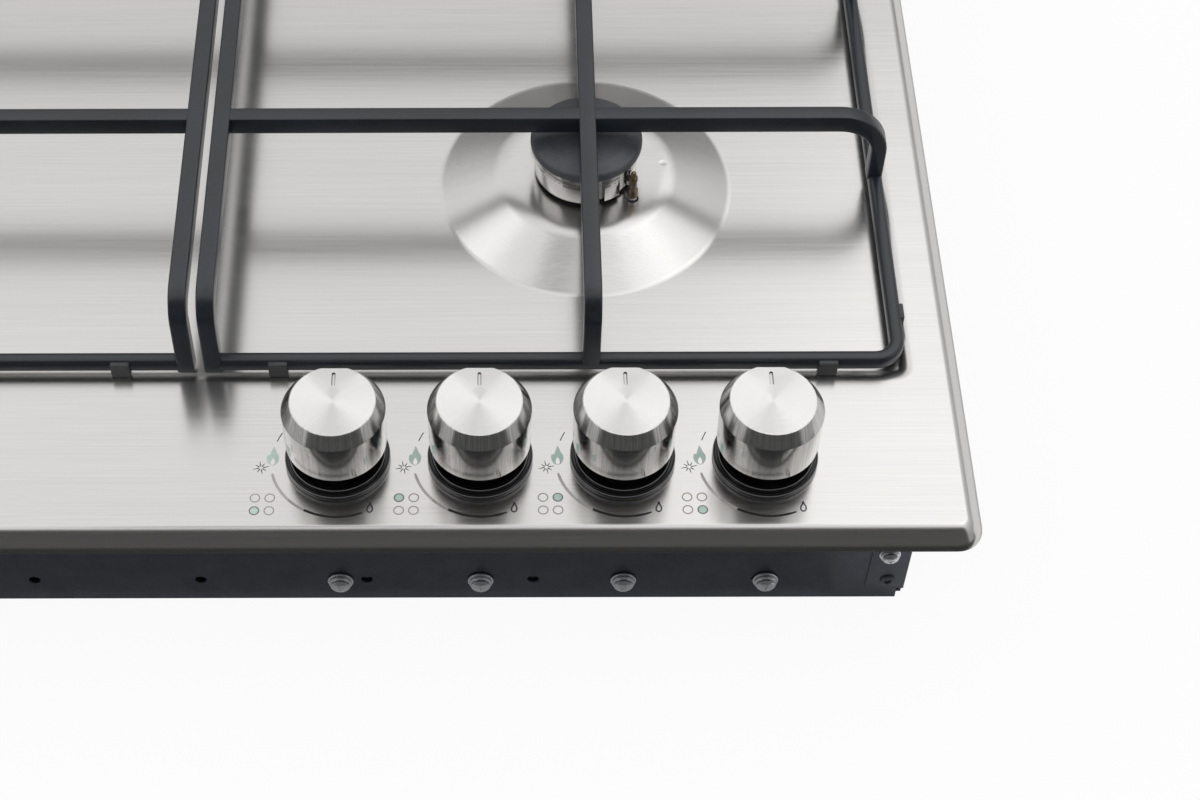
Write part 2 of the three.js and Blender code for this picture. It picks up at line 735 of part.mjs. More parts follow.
const controls = { valve: valveBody(), spindle: spindle(), knob: knob(), bezel: knobBezel() };
const pushPin = rod(pinRadius, pinFoot, pinTop, fineFacets);
burners.forEach((burner, index) => {
  const place = [knobX(index), knobRow, 0];
  addPiece(`valve_body_${burner.name}`, controls.valve, 'brass', place);
  addPiece(`valve_pin_${burner.name}`, pushPin, 'zincScrew', place);
  addPiece(`spindle_${burner.name}`, controls.spindle, 'zincScrew', place);
  addPiece(`knob_${burner.name}`, controls.knob, 'turnedSteel', place);
  addPiece(`knob_bezel_${burner.name}`, controls.bezel, 'blackPlastic', place);
});

// ---------------------------------------------------------------------- burners
// Heights here are measured from the underside of the pan, round the burner's own axis.
const crownBase = embossLevel + seatGap;
const crownTop = crownBase + crownHeight;
const capBase = crownTop + seatGap;
const flangeUnder = cupTop - cupFlangeThickness;
const inletAngles = { front_left: -90, rear_left: 0, rear_right: 180, front_right: 0 };

function burnerCup(inletAngle) {
  const inside = clearRadius(burnerHoleRadius, hiddenFacets);
  const floor = cupBase + cupFloor;
  const cup = turned([
    [0, cupBase], [cupRadius, cupBase], [cupRadius, flangeUnder], [cupFlangeRadius, flangeUnder],
    [cupFlangeRadius, cupTop], [inside, cupTop], [inside, floor],
    [injectorRadius, floor], [injectorTipRadius, floor + injectorHeight], [0, floor + injectorHeight],
  ], hiddenFacets);
  const socketEnd = cupRadius + socketLength;
  const socketHole = boreAlongX(
    pipeRadius + seatGap, 0, socketLevel, socketEnd - pipeSocket - seatGap, socketEnd + overcut,
  );
  const socket = cut(rodAlongX(socketRadius, 0, socketLevel, cupRadius - socketRoot, socketEnd), socketHole);
  const body = cup.add(socket.rotate([0, 0, inletAngle]));
  const collarHoles = [[thermocoupleAngle, thermocoupleRadius], [electrodeAngle, electrodeRadius]];
  return collarHoles.reduce((left, [angle, radius]) => {
    const [x, y] = aroundBurner({ x: 0, y: 0 }, angle);
    const hole = bore(radius + seatGap, flangeUnder - overcut, cupTop + overcut, fineFacets);
    return cut(left, hole.translate([x, y, 0]));
  }, body);
}

function burnerCrown() {
  const skirtRadius = burnerHoleRadius - seatGap;
  const skirtBase = crownBase - crownSkirtDepth;
  const inside = crownRadius - crownWall;
  const floor = crownTop - crownFloorDrop;
  let crown = turned([
    [crownBoreRadius, skirtBase], [skirtRadius, skirtBase], [skirtRadius, crownBase],
    [crownRadius, crownBase], [crownRadius, crownTop - crownChamferHeight],
    [crownRadius - crownChamferWidth, crownTop], [inside, crownTop],
    [inside, floor], [crownBoreRadius, floor], [crownBoreRadius, skirtBase],
  ]);
  for (let index = 0; index < crownPortCount; index += 1) {
    const port = block(
      [inside - overcut, -crownPortWidth / 2, crownTop - crownPortDepth],
      [crownRadius + overcut, crownPortWidth / 2, crownTop + overcut],
    );
    crown = cut(crown, port.rotate([0, 0, (index + 0.5) * 360 / crownPortCount]));
  }
  for (const [angle, width, depth] of crownNotches) {
    const notch = block(
      [crownRadius - depth, -width / 2, crownBase - overcut],
      [crownRadius + overcut, width / 2, crownTop + overcut],
    );
    crown = cut(crown, notch.rotate([0, 0, angle]));
  }
  return crown;
}

function burnerCap() {
  const lipTop = capBase + capLipHeight;
  return turned([
    [0, capBase - capSpigotDepth], [capSpigotRadius, capBase - capSpigotDepth], [capSpigotRadius, capBase],
    [capRadius - capUndercut, capBase], [capRadius, capBase + capLipHeight * 0.5],
    [capRadius - capShoulderInset, lipTop + capShoulderRise],
    [capRadius * 0.5, lipTop + capDomeHeight * 0.8], [0, lipTop + capDomeHeight],
  ]);
}

// The electrode and the thermocouple hang by a collar under the cup's flange.
function probe(radius, tipHeight) {
  const collarTop = flangeUnder - seatGap;
  const collarBase = collarTop - probeCollarHeight;
  const foot = sheetUnder - probeDrop;
  const tip = embossLevel + probeRise;
  const tipBase = tip - tipHeight;
  return turned([
    [0, foot], [radius, foot], [radius, collarBase], [radius + probeCollar, collarBase],
    [radius + probeCollar, collarTop], [radius, collarTop], [radius, tipBase],
    [probeTipFoot, tipBase + probeTipTaper], [probeTipRadius, tip], [0, tip],
  ], fineFacets);
}

const crownShape = burnerCrown();
const capShape = burnerCap();
const thermocoupleShape = probe(thermocoupleRadius, thermocoupleTip);
const electrodeShape = probe(electrodeRadius, electrodeTip);
for (const burner of burners) {
  const place = [burner.x, burner.y, 0];
  addPiece(`burner_cup_${burner.name}`, burnerCup(inletAngles[burner.name]), 'aluminium', place);
  addPiece(`burner_crown_${burner.name}`, crownShape, 'aluminium', place);
  addPiece(`burner_cap_${burner.name}`, capShape, 'capEnamel', place);
  const thermocoupleAt = [...aroundBurner(burner, thermocoupleAngle), 0];
  const electrodeAt = [...aroundBurner(burner, electrodeAngle), 0];
  addPiece(`thermocouple_${burner.name}`, thermocoupleShape, 'zincScrew', thermocoupleAt);
  addPiece(`spark_electrode_${burner.name}`, electrodeShape, 'whiteCeramic', electrodeAt);
}

// --------------------------------------------------------------------- gas pipes
const outletEnd = knobRow + valveBack + outletLength - pipeSocket;
const firstTurn = knobRow + valveBack + outletLength + pipeLead;

function socketMouth(burner) {
  const turn = THREE.MathUtils.degToRad(inletAngles[burner.name]);
  const reach = cupRadius + socketLength - pipeSocket;
  return [burner.x + reach * Math.cos(turn), burner.y + reach * Math.sin(turn), socketLevel];
}

function gasPipe(index) {
  const burner = burners[index];
  const startX = knobX(index);
  const start = [startX, outletEnd, outletLevel];
  const end = socketMouth(burner);
  const lane = firstTurn + index * pipeLane;
  const alongMiddle = (x) => [[startX, lane, outletLevel], [x, lane, socketLevel], [x, burner.y, socketLevel]];
  const routes = {
    front_left: [[startX, lane, outletLevel], [burner.x, lane, socketLevel]],
    rear_left: alongMiddle(pipeLane),
    rear_right: alongMiddle(2 * pipeLane),
    front_right: [[startX, burner.y, socketLevel]],
  };
  return bentBar([start, ...routes[burner.name], end], pipeRadius, pipeBend, pipeSteps, pipeHalfSides);
}
burners.forEach((burner, index) => {
  addPiece(`gas_pipe_${burner.name}`, solid(gasPipe(index)), 'aluminium');
});

// ------------------------------------------------------------------------ grates
const footLevel = wellLevel + seatGap;
const frameBase = footLevel + footUnder;
const barTop = wellLevel + barTopHeight;
const grateInner = grateGap / 2;
const grateOuter = wellWidth / 2 - grateMargin;
const grateHalfLength = wellLength / 2 - grateMargin;
const grateMiddleX = (grateInner + grateOuter) / 2;

// A flat-topped bar seen from the side: it runs level, then bends down into a leg at one or both ends.
function bridgeOutline(start, end, bendRadius, legFoot, startLeg) {
  const outline = new THREE.Shape();
  const under = barTop - barHeight;
  const innerRise = bendRadius - barHeight;
  const innerRun = bendRadius - legThickness;
  if (startLeg) {
    outline.moveTo(start + legThickness, legFoot);
    outline.lineTo(start, legFoot);
    outline.lineTo(start, barTop - bendRadius);
    outline.absarc(start + bendRadius, barTop - bendRadius, bendRadius, Math.PI, Math.PI / 2, true);
  } else {
    outline.moveTo(start, under);
    outline.lineTo(start, barTop);
  }
  outline.lineTo(end - bendRadius, barTop);
  outline.absarc(end - bendRadius, barTop - bendRadius, bendRadius, Math.PI / 2, 0, true);
  outline.lineTo(end, legFoot);
  outline.lineTo(end - legThickness, legFoot);
  outline.lineTo(end - legThickness, barTop - bendRadius);
  const centre = barTop - bendRadius;
  outline.absellipse(end - bendRadius, centre, innerRun, innerRise, 0, Math.PI / 2, false);
  if (startLeg) {
    outline.lineTo(start + bendRadius, under);
    outline.absellipse(start + bendRadius, centre, innerRun, innerRise, Math.PI / 2, Math.PI, false);
  }
  return outline;
}

// Bar in the XZ plane at the given Y.
function crossBar(start, end, y) {
  const outline = bridgeOutline(start, end, sideBendRadius, frameBase + frameHeight / 2, false);
  const bar = thickened(outline, barWidth, barEdge).rotateX(Math.PI / 2);
  return solid(bar.translate(0, y + barWidth / 2, 0));
}

// Bar in the YZ plane at the given X.
function longBar(x, legFoot) {
  const outline = bridgeOutline(-grateHalfLength, grateHalfLength, longBendRadius, legFoot, true);
  const bar = thickened(outline, barWidth, barEdge).rotateX(Math.PI / 2).rotateZ(Math.PI / 2);
  return solid(bar.translate(x - barWidth / 2, 0, 0));
}

function frameOutline() {
  const start = grateInner + barEdge;
  const outerBend = frameCornerRadius;
  const innerBend = frameCornerRadius - frameWidth;
  const outline = new THREE.Shape();
  outline.moveTo(start, -grateHalfLength);
  outline.lineTo(grateOuter - outerBend, -grateHalfLength);
  outline.absarc(grateOuter - outerBend, -grateHalfLength + outerBend, outerBend, -Math.PI / 2, 0);
  outline.lineTo(grateOuter, grateHalfLength - outerBend);
  outline.absarc(grateOuter - outerBend, grateHalfLength - outerBend, outerBend, 0, Math.PI / 2);
  outline.lineTo(start, grateHalfLength);
  outline.lineTo(start, grateHalfLength - frameWidth);
  outline.lineTo(grateOuter - outerBend, grateHalfLength - frameWidth);
  outline.absarc(grateOuter - outerBend, grateHalfLength - outerBend, innerBend, Math.PI / 2, 0, true);
  outline.lineTo(grateOuter - frameWidth, -grateHalfLength + outerBend);
  outline.absarc(grateOuter - outerBend, -grateHalfLength + outerBend, innerBend, 0, -Math.PI / 2, true);
  outline.lineTo(start, -grateHalfLength + frameWidth);
  return outline;
}

function rubberFoot(x, y, alongX) {
  const across = frameWidth / 2 + footWrap;
  const along = footLength / 2;
  const [halfX, halfY] = alongX ? [along, across] : [across, along];
  return block([x - halfX, y - halfY, footLevel], [x + halfX, y + halfY, frameBase + footRise]);
}

// The grate's outline is the same seen from front and back, so one shape serves both sides.
function grate() {
  const frame = solid(thickened(frameOutline(), frameHeight, frameEdge).translate(0, 0, frameBase));
  const innerX = grateInner + barWidth / 2;
  const pieces = [frame, longBar(innerX, frameBase), longBar(burnerSpread, frameBase + frameHeight / 2)];
  for (const y of [-burnerPitch / 2, 0, burnerPitch / 2]) {
    pieces.push(crossBar(innerX, grateOuter, y));
  }
  const frameRow = grateHalfLength - frameWidth / 2;
  for (const side of [-1, 1]) {
    pieces.push(rubberFoot(grateMiddleX - frontFootOffset, side * frameRow, true));
    pieces.push(rubberFoot(grateMiddleX + frontFootOffset, side * frameRow, true));
    pieces.push(rubberFoot(grateOuter - frameWidth / 2, side * sideFootOffset, false));
  }
  return joined(...pieces);
}

const grateGroup = new THREE.Group();
grateGroup.position.set(0, wellMiddle, 0);
cooktop.add(grateGroup);
const grateShape = geometryOf(grate());
addPiece('grate_right', grateShape, 'blackEnamel', [0, 0, 0], 0, grateGroup);
addPiece('grate_left', grateShape, 'blackEnamel', [0, 0, 0], Math.PI, grateGroup);

// ------------------------------------------------------------- electrical pieces
function ignitionUnit() {
  const base = sheetThickness + seatGap;
  const box = block(
    [-ignitionLength / 2, -ignitionWidth / 2, base],
    [ignitionLength / 2, ignitionWidth / 2, base + ignitionHeight],
  );
  const posts = burners.map((burner, index) => {
    const x = (index - (burners.length - 1) / 2) * ignitionLength / burners.length;
    const post = rod(postRadius, base + ignitionHeight - weld, base + ignitionHeight + postHeight, fineFacets);
    return post.translate([x, 0, 0]);
  });
  return joined(box, ...posts);
}
const ignitionX = -panHalfWidth + ignitionSideGap + ignitionLength / 2;
const ignitionY = panFront + ignitionFrontGap + ignitionWidth / 2;
addPiece('ignition_unit', ignitionUnit(), 'blackPlastic', [ignitionX, ignitionY, 0]);

function mainsTerminal() {
  const base = sheetThickness + seatGap;
  const back = panRear - sheetThickness - seatGap;
  const top = base + terminalHeight;
  const box = block(
    [-terminalLength / 2, back - terminalWidth, base],
    [terminalLength / 2, back, top],
  );
  const lid = block(
    [-terminalLength / 2 - lidOverhang, back - terminalWidth - lidOverhang, top - lidSkirt],
    [terminalLength / 2 + lidOverhang, back, top + lidThickness],
  );
  const wayEnd = back - terminalWidth + terminalBackWall;
  const wireWay = boreAlongY(wireWayRadius, 0, cableLevel, wayEnd, back + overcut);
  return cut(joined(box, lid), wireWay);
}
addPiece('mains_terminal', mainsTerminal(), 'blackPlastic', [terminalX, 0, 0]);

// --------------------------------------------------------- worktop seal and clamps
function worktopSeal() {
  const base = worktopLevel - sealProud;
  const top = sheetUnder - seatGap;
  const outer = stackedRings(plateWidth, plateDepth, plateCornerRadius, [
    [sealInset, base], [sealInset, top],
  ]);
  const inner = stackedRings(plateWidth, plateDepth, plateCornerRadius, [
    [sealInset + sealWidth, base - overcut], [sealInset + sealWidth, top + overcut],
  ]);
  return cut(outer, inner);
}
addPiece('worktop_seal', worktopSeal(), 'greyFoam');

// A turn-out arm on an upright screw that hangs in the pan's ear.
function worktopClamp() {
  const armTop = worktopLevel - clampDrop;
  const armBase = armTop - clampArmThickness;
  const headBase = earLevel + earThickness + seatGap;
  const half = clampArmWidth / 2;
  const neck = clampArmNeck / 2;
  const reach = clampArmLength - half;
  return joined(
    rod(half, armBase, armTop, fineFacets),
    block([-neck, 0, armBase], [neck, reach, armTop]),
    rod(clampScrewRadius, armBase - clampScrewEnd, headBase + fineWeld, fineFacets),
    rod(clampHeadRadius, headBase, headBase + clampHeadHeight, fineFacets),
    rod(clampHeadRadius, armTop - fineWeld, armTop + clampNutHeight, nutFacets),
    block([-half, reach - clampTipLength, armTop - fineWeld], [half, reach, armTop + clampTipHeight]),
  );
}
const clampShape = geometryOf(worktopClamp());
for (const [side, sideName] of [[-1, 'left'], [1, 'right']]) {
  for (let index = 0; index < clampCount; index += 1) {
    const endName = index === 0 ? 'front' : 'rear';
    const place = [side * clampX, clampY(index), 0];
    addPiece(`worktop_clamp_${endName}_${sideName}`, clampShape, 'zincScrew', place);
  }
}

export default cooktop;
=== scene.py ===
import json
import math
import bmesh
import bpy
import numpy as np
from mathutils import Matrix, Vector
from mathutils.geometry import delaunay_2d_cdt


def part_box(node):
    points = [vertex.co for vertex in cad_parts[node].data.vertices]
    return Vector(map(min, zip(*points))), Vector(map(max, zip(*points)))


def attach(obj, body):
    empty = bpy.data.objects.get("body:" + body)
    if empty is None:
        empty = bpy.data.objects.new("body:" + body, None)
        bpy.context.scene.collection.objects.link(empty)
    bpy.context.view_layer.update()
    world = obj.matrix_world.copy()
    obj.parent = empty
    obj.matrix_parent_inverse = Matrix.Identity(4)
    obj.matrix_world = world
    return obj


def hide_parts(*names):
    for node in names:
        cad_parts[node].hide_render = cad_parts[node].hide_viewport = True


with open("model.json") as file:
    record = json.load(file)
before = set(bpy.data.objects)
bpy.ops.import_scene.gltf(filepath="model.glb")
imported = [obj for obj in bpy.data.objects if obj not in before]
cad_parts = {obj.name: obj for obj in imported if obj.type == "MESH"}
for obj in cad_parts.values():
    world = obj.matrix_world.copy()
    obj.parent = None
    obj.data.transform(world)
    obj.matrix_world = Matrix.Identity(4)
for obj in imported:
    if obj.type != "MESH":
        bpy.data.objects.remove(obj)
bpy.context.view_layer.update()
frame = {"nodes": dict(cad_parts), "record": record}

scene = bpy.context.scene
scene.view_settings.view_transform = "Standard"
mm = 0.001  # sizes are in millimetres, heights above the underside of the base pan
burnerNames = ["front_left", "rear_left", "rear_right", "front_right"]


def centreOf(node):
    low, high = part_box(node)
    return ((low.x + high.x) / 2 / mm, (low.y + high.y) / 2 / mm)


burnerCentres = {name: centreOf("burner_crown_" + name) for name in burnerNames}
knobCentres = {name: centreOf("knob_bezel_" + name) for name in burnerNames}
middleY = 25.0  # between the front and the rear edge of the recessed well
probeAngle, probeReach = -40.0, 24.0  # the thermocouple from the burner's axis; the electrode stands opposite


def fromBurner(name, reach, degrees):
    x, y = burnerCentres[name]
    return (x + reach * math.cos(math.radians(degrees)), y + reach * math.sin(math.radians(degrees)))


def addObject(name, data):
    made = bpy.data.objects.new(name, data)
    scene.collection.objects.link(made)
    return made


# The photograph's own place, tilt and picture offset.
def placeCamera():
    view = {"place": (0.11478, -0.7138, 0.7497), "pitch": 52.842, "roll": -0.280, "yaw": -0.163,
            "lens": 68.84, "shiftX": 0.0848, "clipStart": 0.01}
    pitch, roll, yaw = (math.radians(view[key]) for key in ("pitch", "roll", "yaw"))
    forward = Vector((math.sin(yaw) * math.cos(pitch), math.cos(yaw) * math.cos(pitch), -math.sin(pitch)))
    level = Vector((math.cos(yaw), -math.sin(yaw), 0))
    up = level.cross(forward)
    right = level * math.cos(roll) + up * math.sin(roll)
    top = up * math.cos(roll) - level * math.sin(roll)
    camera = addObject("camera", bpy.data.cameras.new("camera"))
    turned = Matrix((right, top, -forward)).transposed().to_4x4()
    camera.matrix_world = Matrix.Translation(view["place"]) @ turned
    camera.data.lens = view["lens"]
    camera.data.shift_x = view["shiftX"]
    camera.data.clip_start = view["clipStart"]
    scene.camera = camera


placeCamera()
print("camera placed")


def linear(hexColour):
    channels = [int(hexColour[i:i + 2], 16) / 255 for i in (1, 3, 5)]
    return tuple(c / 12.92 if c <= 0.04045 else ((c + 0.055) / 1.055) ** 2.4 for c in channels) + (1.0,)


# One call makes a node with its input values, its links and its settings.
def addNode(tree, kind, values=None, links=None, **settings):
    made = tree.nodes.new(kind)
    for key, value in settings.items():
        setattr(made, key, value)
    for key, value in (values or {}).items():
        made.inputs[key].default_value = value
    for key, socket in (links or {}).items():
        tree.links.new(socket, made.inputs[key])
    return made


def clearedTree(holder):
    holder.use_nodes = True
    holder.node_tree.nodes.clear()
    return holder.node_tree


def newMaterial(name, shader):
    material = bpy.data.materials.new(name)
    tree = clearedTree(material)
    surface = addNode(tree, "ShaderNodeBsdfPrincipled", shader)
    addNode(tree, "ShaderNodeOutputMaterial", links={"Surface": surface.outputs[0]})
    return material, tree, surface


# Noise drawn out along the grain. The seed moves it to another part of the same noise.
def grain(tree, source, stretch, detail=2.0, seed=0.0):
    placed = addNode(tree, "ShaderNodeMapping", {"Scale": stretch, "Location": (seed,) * 3},
                     {"Vector": source})
    return addNode(tree, "ShaderNodeTexNoise", {"Scale": 1.0, "Detail": detail, "Roughness": 0.6},
                   {"Vector": placed.outputs[0]}).outputs["Fac"]


# Noise stays mostly between 0.3 and 0.7, so that part of it takes up the whole range.
def spread(tree, factor, low, high):
    return addNode(tree, "ShaderNodeMapRange",
                   {"From Min": 0.3, "From Max": 0.7, "To Min": low, "To Max": high},
                   {"Value": factor}).outputs[0]


def tint(tree, factor, dark, light, low=0.3, high=0.7):
    ramp = addNode(tree, "ShaderNodeValToRGB", links={"Fac": factor})
    for stop, position, colour in zip(ramp.color_ramp.elements, (low, high), (dark, light)):
        stop.position, stop.color = position, linear(colour)
    return ramp.outputs["Color"]


# The two grains mixed shade the colour, and the fine one alone raises the bump.
def applyGrain(tree, surface, fine, broad, share, tones, height, strength):
    mixed = addNode(tree, "ShaderNodeMix", {"Factor": share}, {"A": fine, "B": broad}).outputs["Result"]
    tree.links.new(tint(tree, mixed, *tones), surface.inputs["Base Color"])
    bump = addNode(tree, "ShaderNodeBump", {"Strength": strength, "Distance": height * mm}, {"Height": fine})
    tree.links.new(bump.outputs[0], surface.inputs["Normal"])
    return mixed


def followGrain(tree, surface):
    tangent = addNode(tree, "ShaderNodeTangent", direction_type="UV_MAP", uv_map="grainUv")
    tree.links.new(tangent.outputs[0], surface.inputs["Tangent"])


# Stainless sheet, belt-brushed along the front edge: long fine lines, and reflections
# drawn out from front to back. The real grit is about 0.1 mm and is drawn at 0.35 mm.
def brushedSheet():
    look = {"grit": 0.35, "lineLength": 60, "lineHeight": 0.002, "patches": (4.0, 60.0, 60.0),
            "patchShare": 0.35, "anisotropic": 0.67, "tones": ("#d5d3d1", "#e2e0de"),
            "roughness": (0.205, 0.26)}
    material, tree, surface = newMaterial("stainless_brushed_sheet", {
        "Metallic": 1.0, "Anisotropic": look["anisotropic"]})
    coordinates = addNode(tree, "ShaderNodeTexCoord").outputs["Object"]
    fine = grain(tree, coordinates, (1000 / look["lineLength"], 1000 / look["grit"], 1000 / look["grit"]))
    broad = grain(tree, coordinates, look["patches"], seed=3.0)
    streaks = applyGrain(tree, surface, fine, broad, look["patchShare"], look["tones"],
                         look["lineHeight"], 0.3)
    tree.links.new(spread(tree, streaks, *look["roughness"]), surface.inputs["Roughness"])
    followGrain(tree, surface)
    return material


# Solid steel turned on a lathe. The fine rings draw light out into a fan on the face and
# into upright streaks on the side. The real rings are 0.1 mm apart and are drawn at 0.3 mm.
def turnedSteel(name, roughness, anisotropic, dark, light, streakShare):
    look = {"ringPitch": 0.3, "ringHeight": 0.0006, "streaksAround": 150.0}
    material, tree, surface = newMaterial(name, {"Metallic": 1.0, "Anisotropic": anisotropic})
    rings = addNode(tree, "ShaderNodeUVMap", uv_map="grainUv").outputs[0]
    fine = grain(tree, rings, (1000 / look["ringPitch"], 3.0, 1.0))
    streaks = grain(tree, rings, (30.0, look["streaksAround"], 1.0), seed=2.0)
    applyGrain(tree, surface, fine, streaks, streakShare, (dark, light), look["ringHeight"], 0.3)
    tree.links.new(spread(tree, fine, roughness * 0.9, roughness * 1.12), surface.inputs["Roughness"])
    followGrain(tree, surface)
    return material


# A surface with a fine even grain: cast, enamelled, moulded or plated.
def grainedSurface(name, dark, light, roughness, grainSize, grainHeight, shader=None, patch=25.0):
    material, tree, surface = newMaterial(name, shader or {})
    coordinates = addNode(tree, "ShaderNodeTexCoord").outputs["Object"]
    fine = grain(tree, coordinates, (1000 / grainSize,) * 3)
    broad = grain(tree, coordinates, (1000 / patch,) * 3, 3.0, 5.0)
    mixed = applyGrain(tree, surface, fine, broad, 0.5, (dark, light, 0.35, 0.65), grainHeight, 0.6)
    tree.links.new(spread(tree, mixed, roughness * 0.88, roughness * 1.12), surface.inputs["Roughness"])
    return material


metal = {"Metallic": 1.0}
materials = {
    "stainless": brushedSheet(),
    # The face's steel is set far lighter than the side's: painted light on the top face, over its real turned
    # finish.
    "turnedFaceLit": turnedSteel("steel_turned_face_painted_light", 0.43, 0.86, "#f3f2f0", "#f9f8f6", 0.5),
    "turnedBevel": turnedSteel("steel_turned_bevel", 0.2, 0.7, "#b4b3b1", "#e4e3e1", 0.9),
    "turnedBody": turnedSteel("steel_turned_polished_side", 0.12, 0.7, "#bcbbb9", "#dddcda", 0.8),
    # Vitreous enamel over steel bar: satin, with the slight pebble of fired enamel.
    "barEnamel": grainedSurface("enamel_satin_on_bar", "#10151a", "#1c242e", 0.33, 0.9, 0.03, {"IOR": 1.64}),
    # Sieved enamel on the caps, matt with a fine sparkle.
    "capEnamel": grainedSurface("enamel_matt_on_cap", "#2d2f32", "#50535a", 0.4, 0.45, 0.06, {"IOR": 1.58}),
    # Pressed aluminium, machined bright on the outside.
    "aluminium": grainedSurface("aluminium_machined", "#c6c5c3", "#d6d5d3", 0.13, 0.6, 0.003, metal),
    "castAluminium": grainedSurface("aluminium_die_cast", "#9c9d9e", "#b4b5b6", 0.45, 0.8, 0.03, metal),
    # The crown's skirt, left rough and coloured near black as painted shade for the shadow in the gap over
    # the plate.
    "shadedSkirtAluminium": grainedSurface("aluminium_die_cast_painted_shade", "#1f1f20", "#323233", 0.6, 0.8, 0.03),
    # Bare walls of the pointer, cut with a small end mill, and given a darker colour as painted shade for the
    # slot's shadow line.
    "milledSlotShade": grainedSurface("steel_milled_slot_painted_shade", "#757472", "#878684", 0.45, 0.3, 0.01,
                                  {"Metallic": 0.9}),
    "brass": grainedSurface("brass_machined", "#a98645", "#c4a15c", 0.3, 0.6, 0.006, metal),
    "zinc": grainedSurface("steel_zinc_plated", "#e2e5e7", "#f4f5f6", 0.33, 0.5, 0.01, metal),
    # Aluminised sheet of the base pan, dark and faintly blue, with a soft rolled grain.
    "panSheet": grainedSurface("steel_coated_rolled_sheet", "#41444b", "#51555d", 0.38, 0.7, 0.006,
                               {"Metallic": 0.85}, 14.0),
    # Moulded heat-proof plastic, and a lighter grey strip on its two outer edges as a painted highlight.
    "blackPlastic": grainedSurface("phenolic_moulded", "#060607", "#0b0b0c", 0.14, 0.6, 0.003, {"IOR": 1.5}),
    "plasticEdgeHighlight": grainedSurface("phenolic_painted_highlight_edge", "#5c5c5f", "#707073", 0.25, 0.4, 0.002,
                                  {"IOR": 1.6}),
    "rubber": grainedSurface("silicone_rubber_moulded", "#38393a", "#4b4c4d", 0.55, 0.6, 0.03, {"IOR": 1.43}),
    "ceramic": grainedSurface("alumina_glazed", "#dedbd3", "#ebe9e3", 0.28, 1.2, 0.004, {"IOR": 1.6}),
    "foam": grainedSurface("foam_closed_cell", "#3a3b3d", "#4b4c4f", 0.9, 0.7, 0.1, {"IOR": 1.4}),
    # Steel tip that the flame has coloured straw and brown.
    "heatedSteel": grainedSurface("steel_heat_tinted", "#4c3f31", "#a4937b", 0.35, 1.4, 0.02,
                                  {"Metallic": 0.9}, 4.0),
}
# Screen-printed ceramic inks.
for ink, colour, dark, light in (
        ("tealInk", "teal", "#c6dfd7", "#d2e8e1"), ("greyInk", "grey", "#a09a96", "#b2aca8"),
        ("litArcInk", "pale_grey_painted_light", "#bfb9b5", "#cec8c4"), ("darkInk", "dark", "#141211", "#1f1c1b")):
    materials[ink] = grainedSurface("ink_" + colour + "_screen_print", dark, light, 0.5, 0.4, 0.002,
                                    {"IOR": 1.5})
print("materials made:", len(materials))


# Joins parts into one object, in metres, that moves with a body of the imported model.
def makePiece(name, parts, body, replaced=(), sharp=35.0, recalculate=True):
    mesh = bpy.data.meshes.new(name)
    vertices, faces, uvs, indices, slots = [], [], [], [], []
    for part in parts:
        offset = len(vertices)
        vertices.extend(part["vertices"])
        faces.extend(tuple(i + offset for i in face) for face in part["faces"])
        uvs.extend(part.get("uvs") or [[(0.0, 0.0)] * len(face) for face in part["faces"]])
        if part["material"] not in slots:
            slots.append(part["material"])
        indices.extend([slots.index(part["material"])] * len(part["faces"]))
    mesh.from_pydata([tuple(c * mm for c in vertex) for vertex in vertices], [], faces)
    for key in slots:
        mesh.materials.append(materials[key])
    layer = mesh.uv_layers.new(name="grainUv")
    layer.data.foreach_set("uv", [value for face in uvs for pair in face for value in pair])
    mesh.polygons.foreach_set("material_index", indices)
    if recalculate:
        work = bmesh.new()
        work.from_mesh(mesh)
        bmesh.ops.remove_doubles(work, verts=work.verts, dist=1e-7)
        bmesh.ops.recalc_face_normals(work, faces=work.faces)
        work.to_mesh(mesh)
        work.free()
    mesh.shade_smooth()
    mesh.set_sharp_from_angle(angle=math.radians(sharp))
    piece = addObject(name, mesh)
    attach(piece, body)
    if replaced:
        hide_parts(*replaced)


# A line with rounded corners; a corner's third number is its radius.
def rounded(corners, steps):
    line = []
    last = len(corners) - 1
    for index, corner in enumerate(corners):
        here = np.array(corner[:2], float)
        if len(corner) < 3 or index in (0, last):
            line.append(tuple(here))
            continue
        before = np.array(corners[index - 1][:2], float) - here
        after = np.array(corners[index + 1][:2], float) - here
        toBefore, toAfter = before / np.linalg.norm(before), after / np.linalg.norm(after)
        half = math.acos(np.clip(toBefore @ toAfter, -1, 1)) / 2
        reach = min(corner[2] / math.tan(half), 0.49 * np.linalg.norm(before), 0.49 * np.linalg.norm(after))
        bisector = (toBefore + toAfter) / np.linalg.norm(toBefore + toAfter)
        centre = here + bisector * reach / math.cos(half)
        radius = reach * math.tan(half)
        first, second = here + toBefore * reach - centre, here + toAfter * reach - centre
        start = math.atan2(first[1], first[0])
        turn = (math.atan2(second[1], second[0]) - start + math.pi) % (2 * math.pi) - math.pi
        for step in range(steps + 1):
            angle = start + turn * step / steps
            line.append((centre[0] + radius * math.cos(angle), centre[1] + radius * math.sin(angle)))
    return line


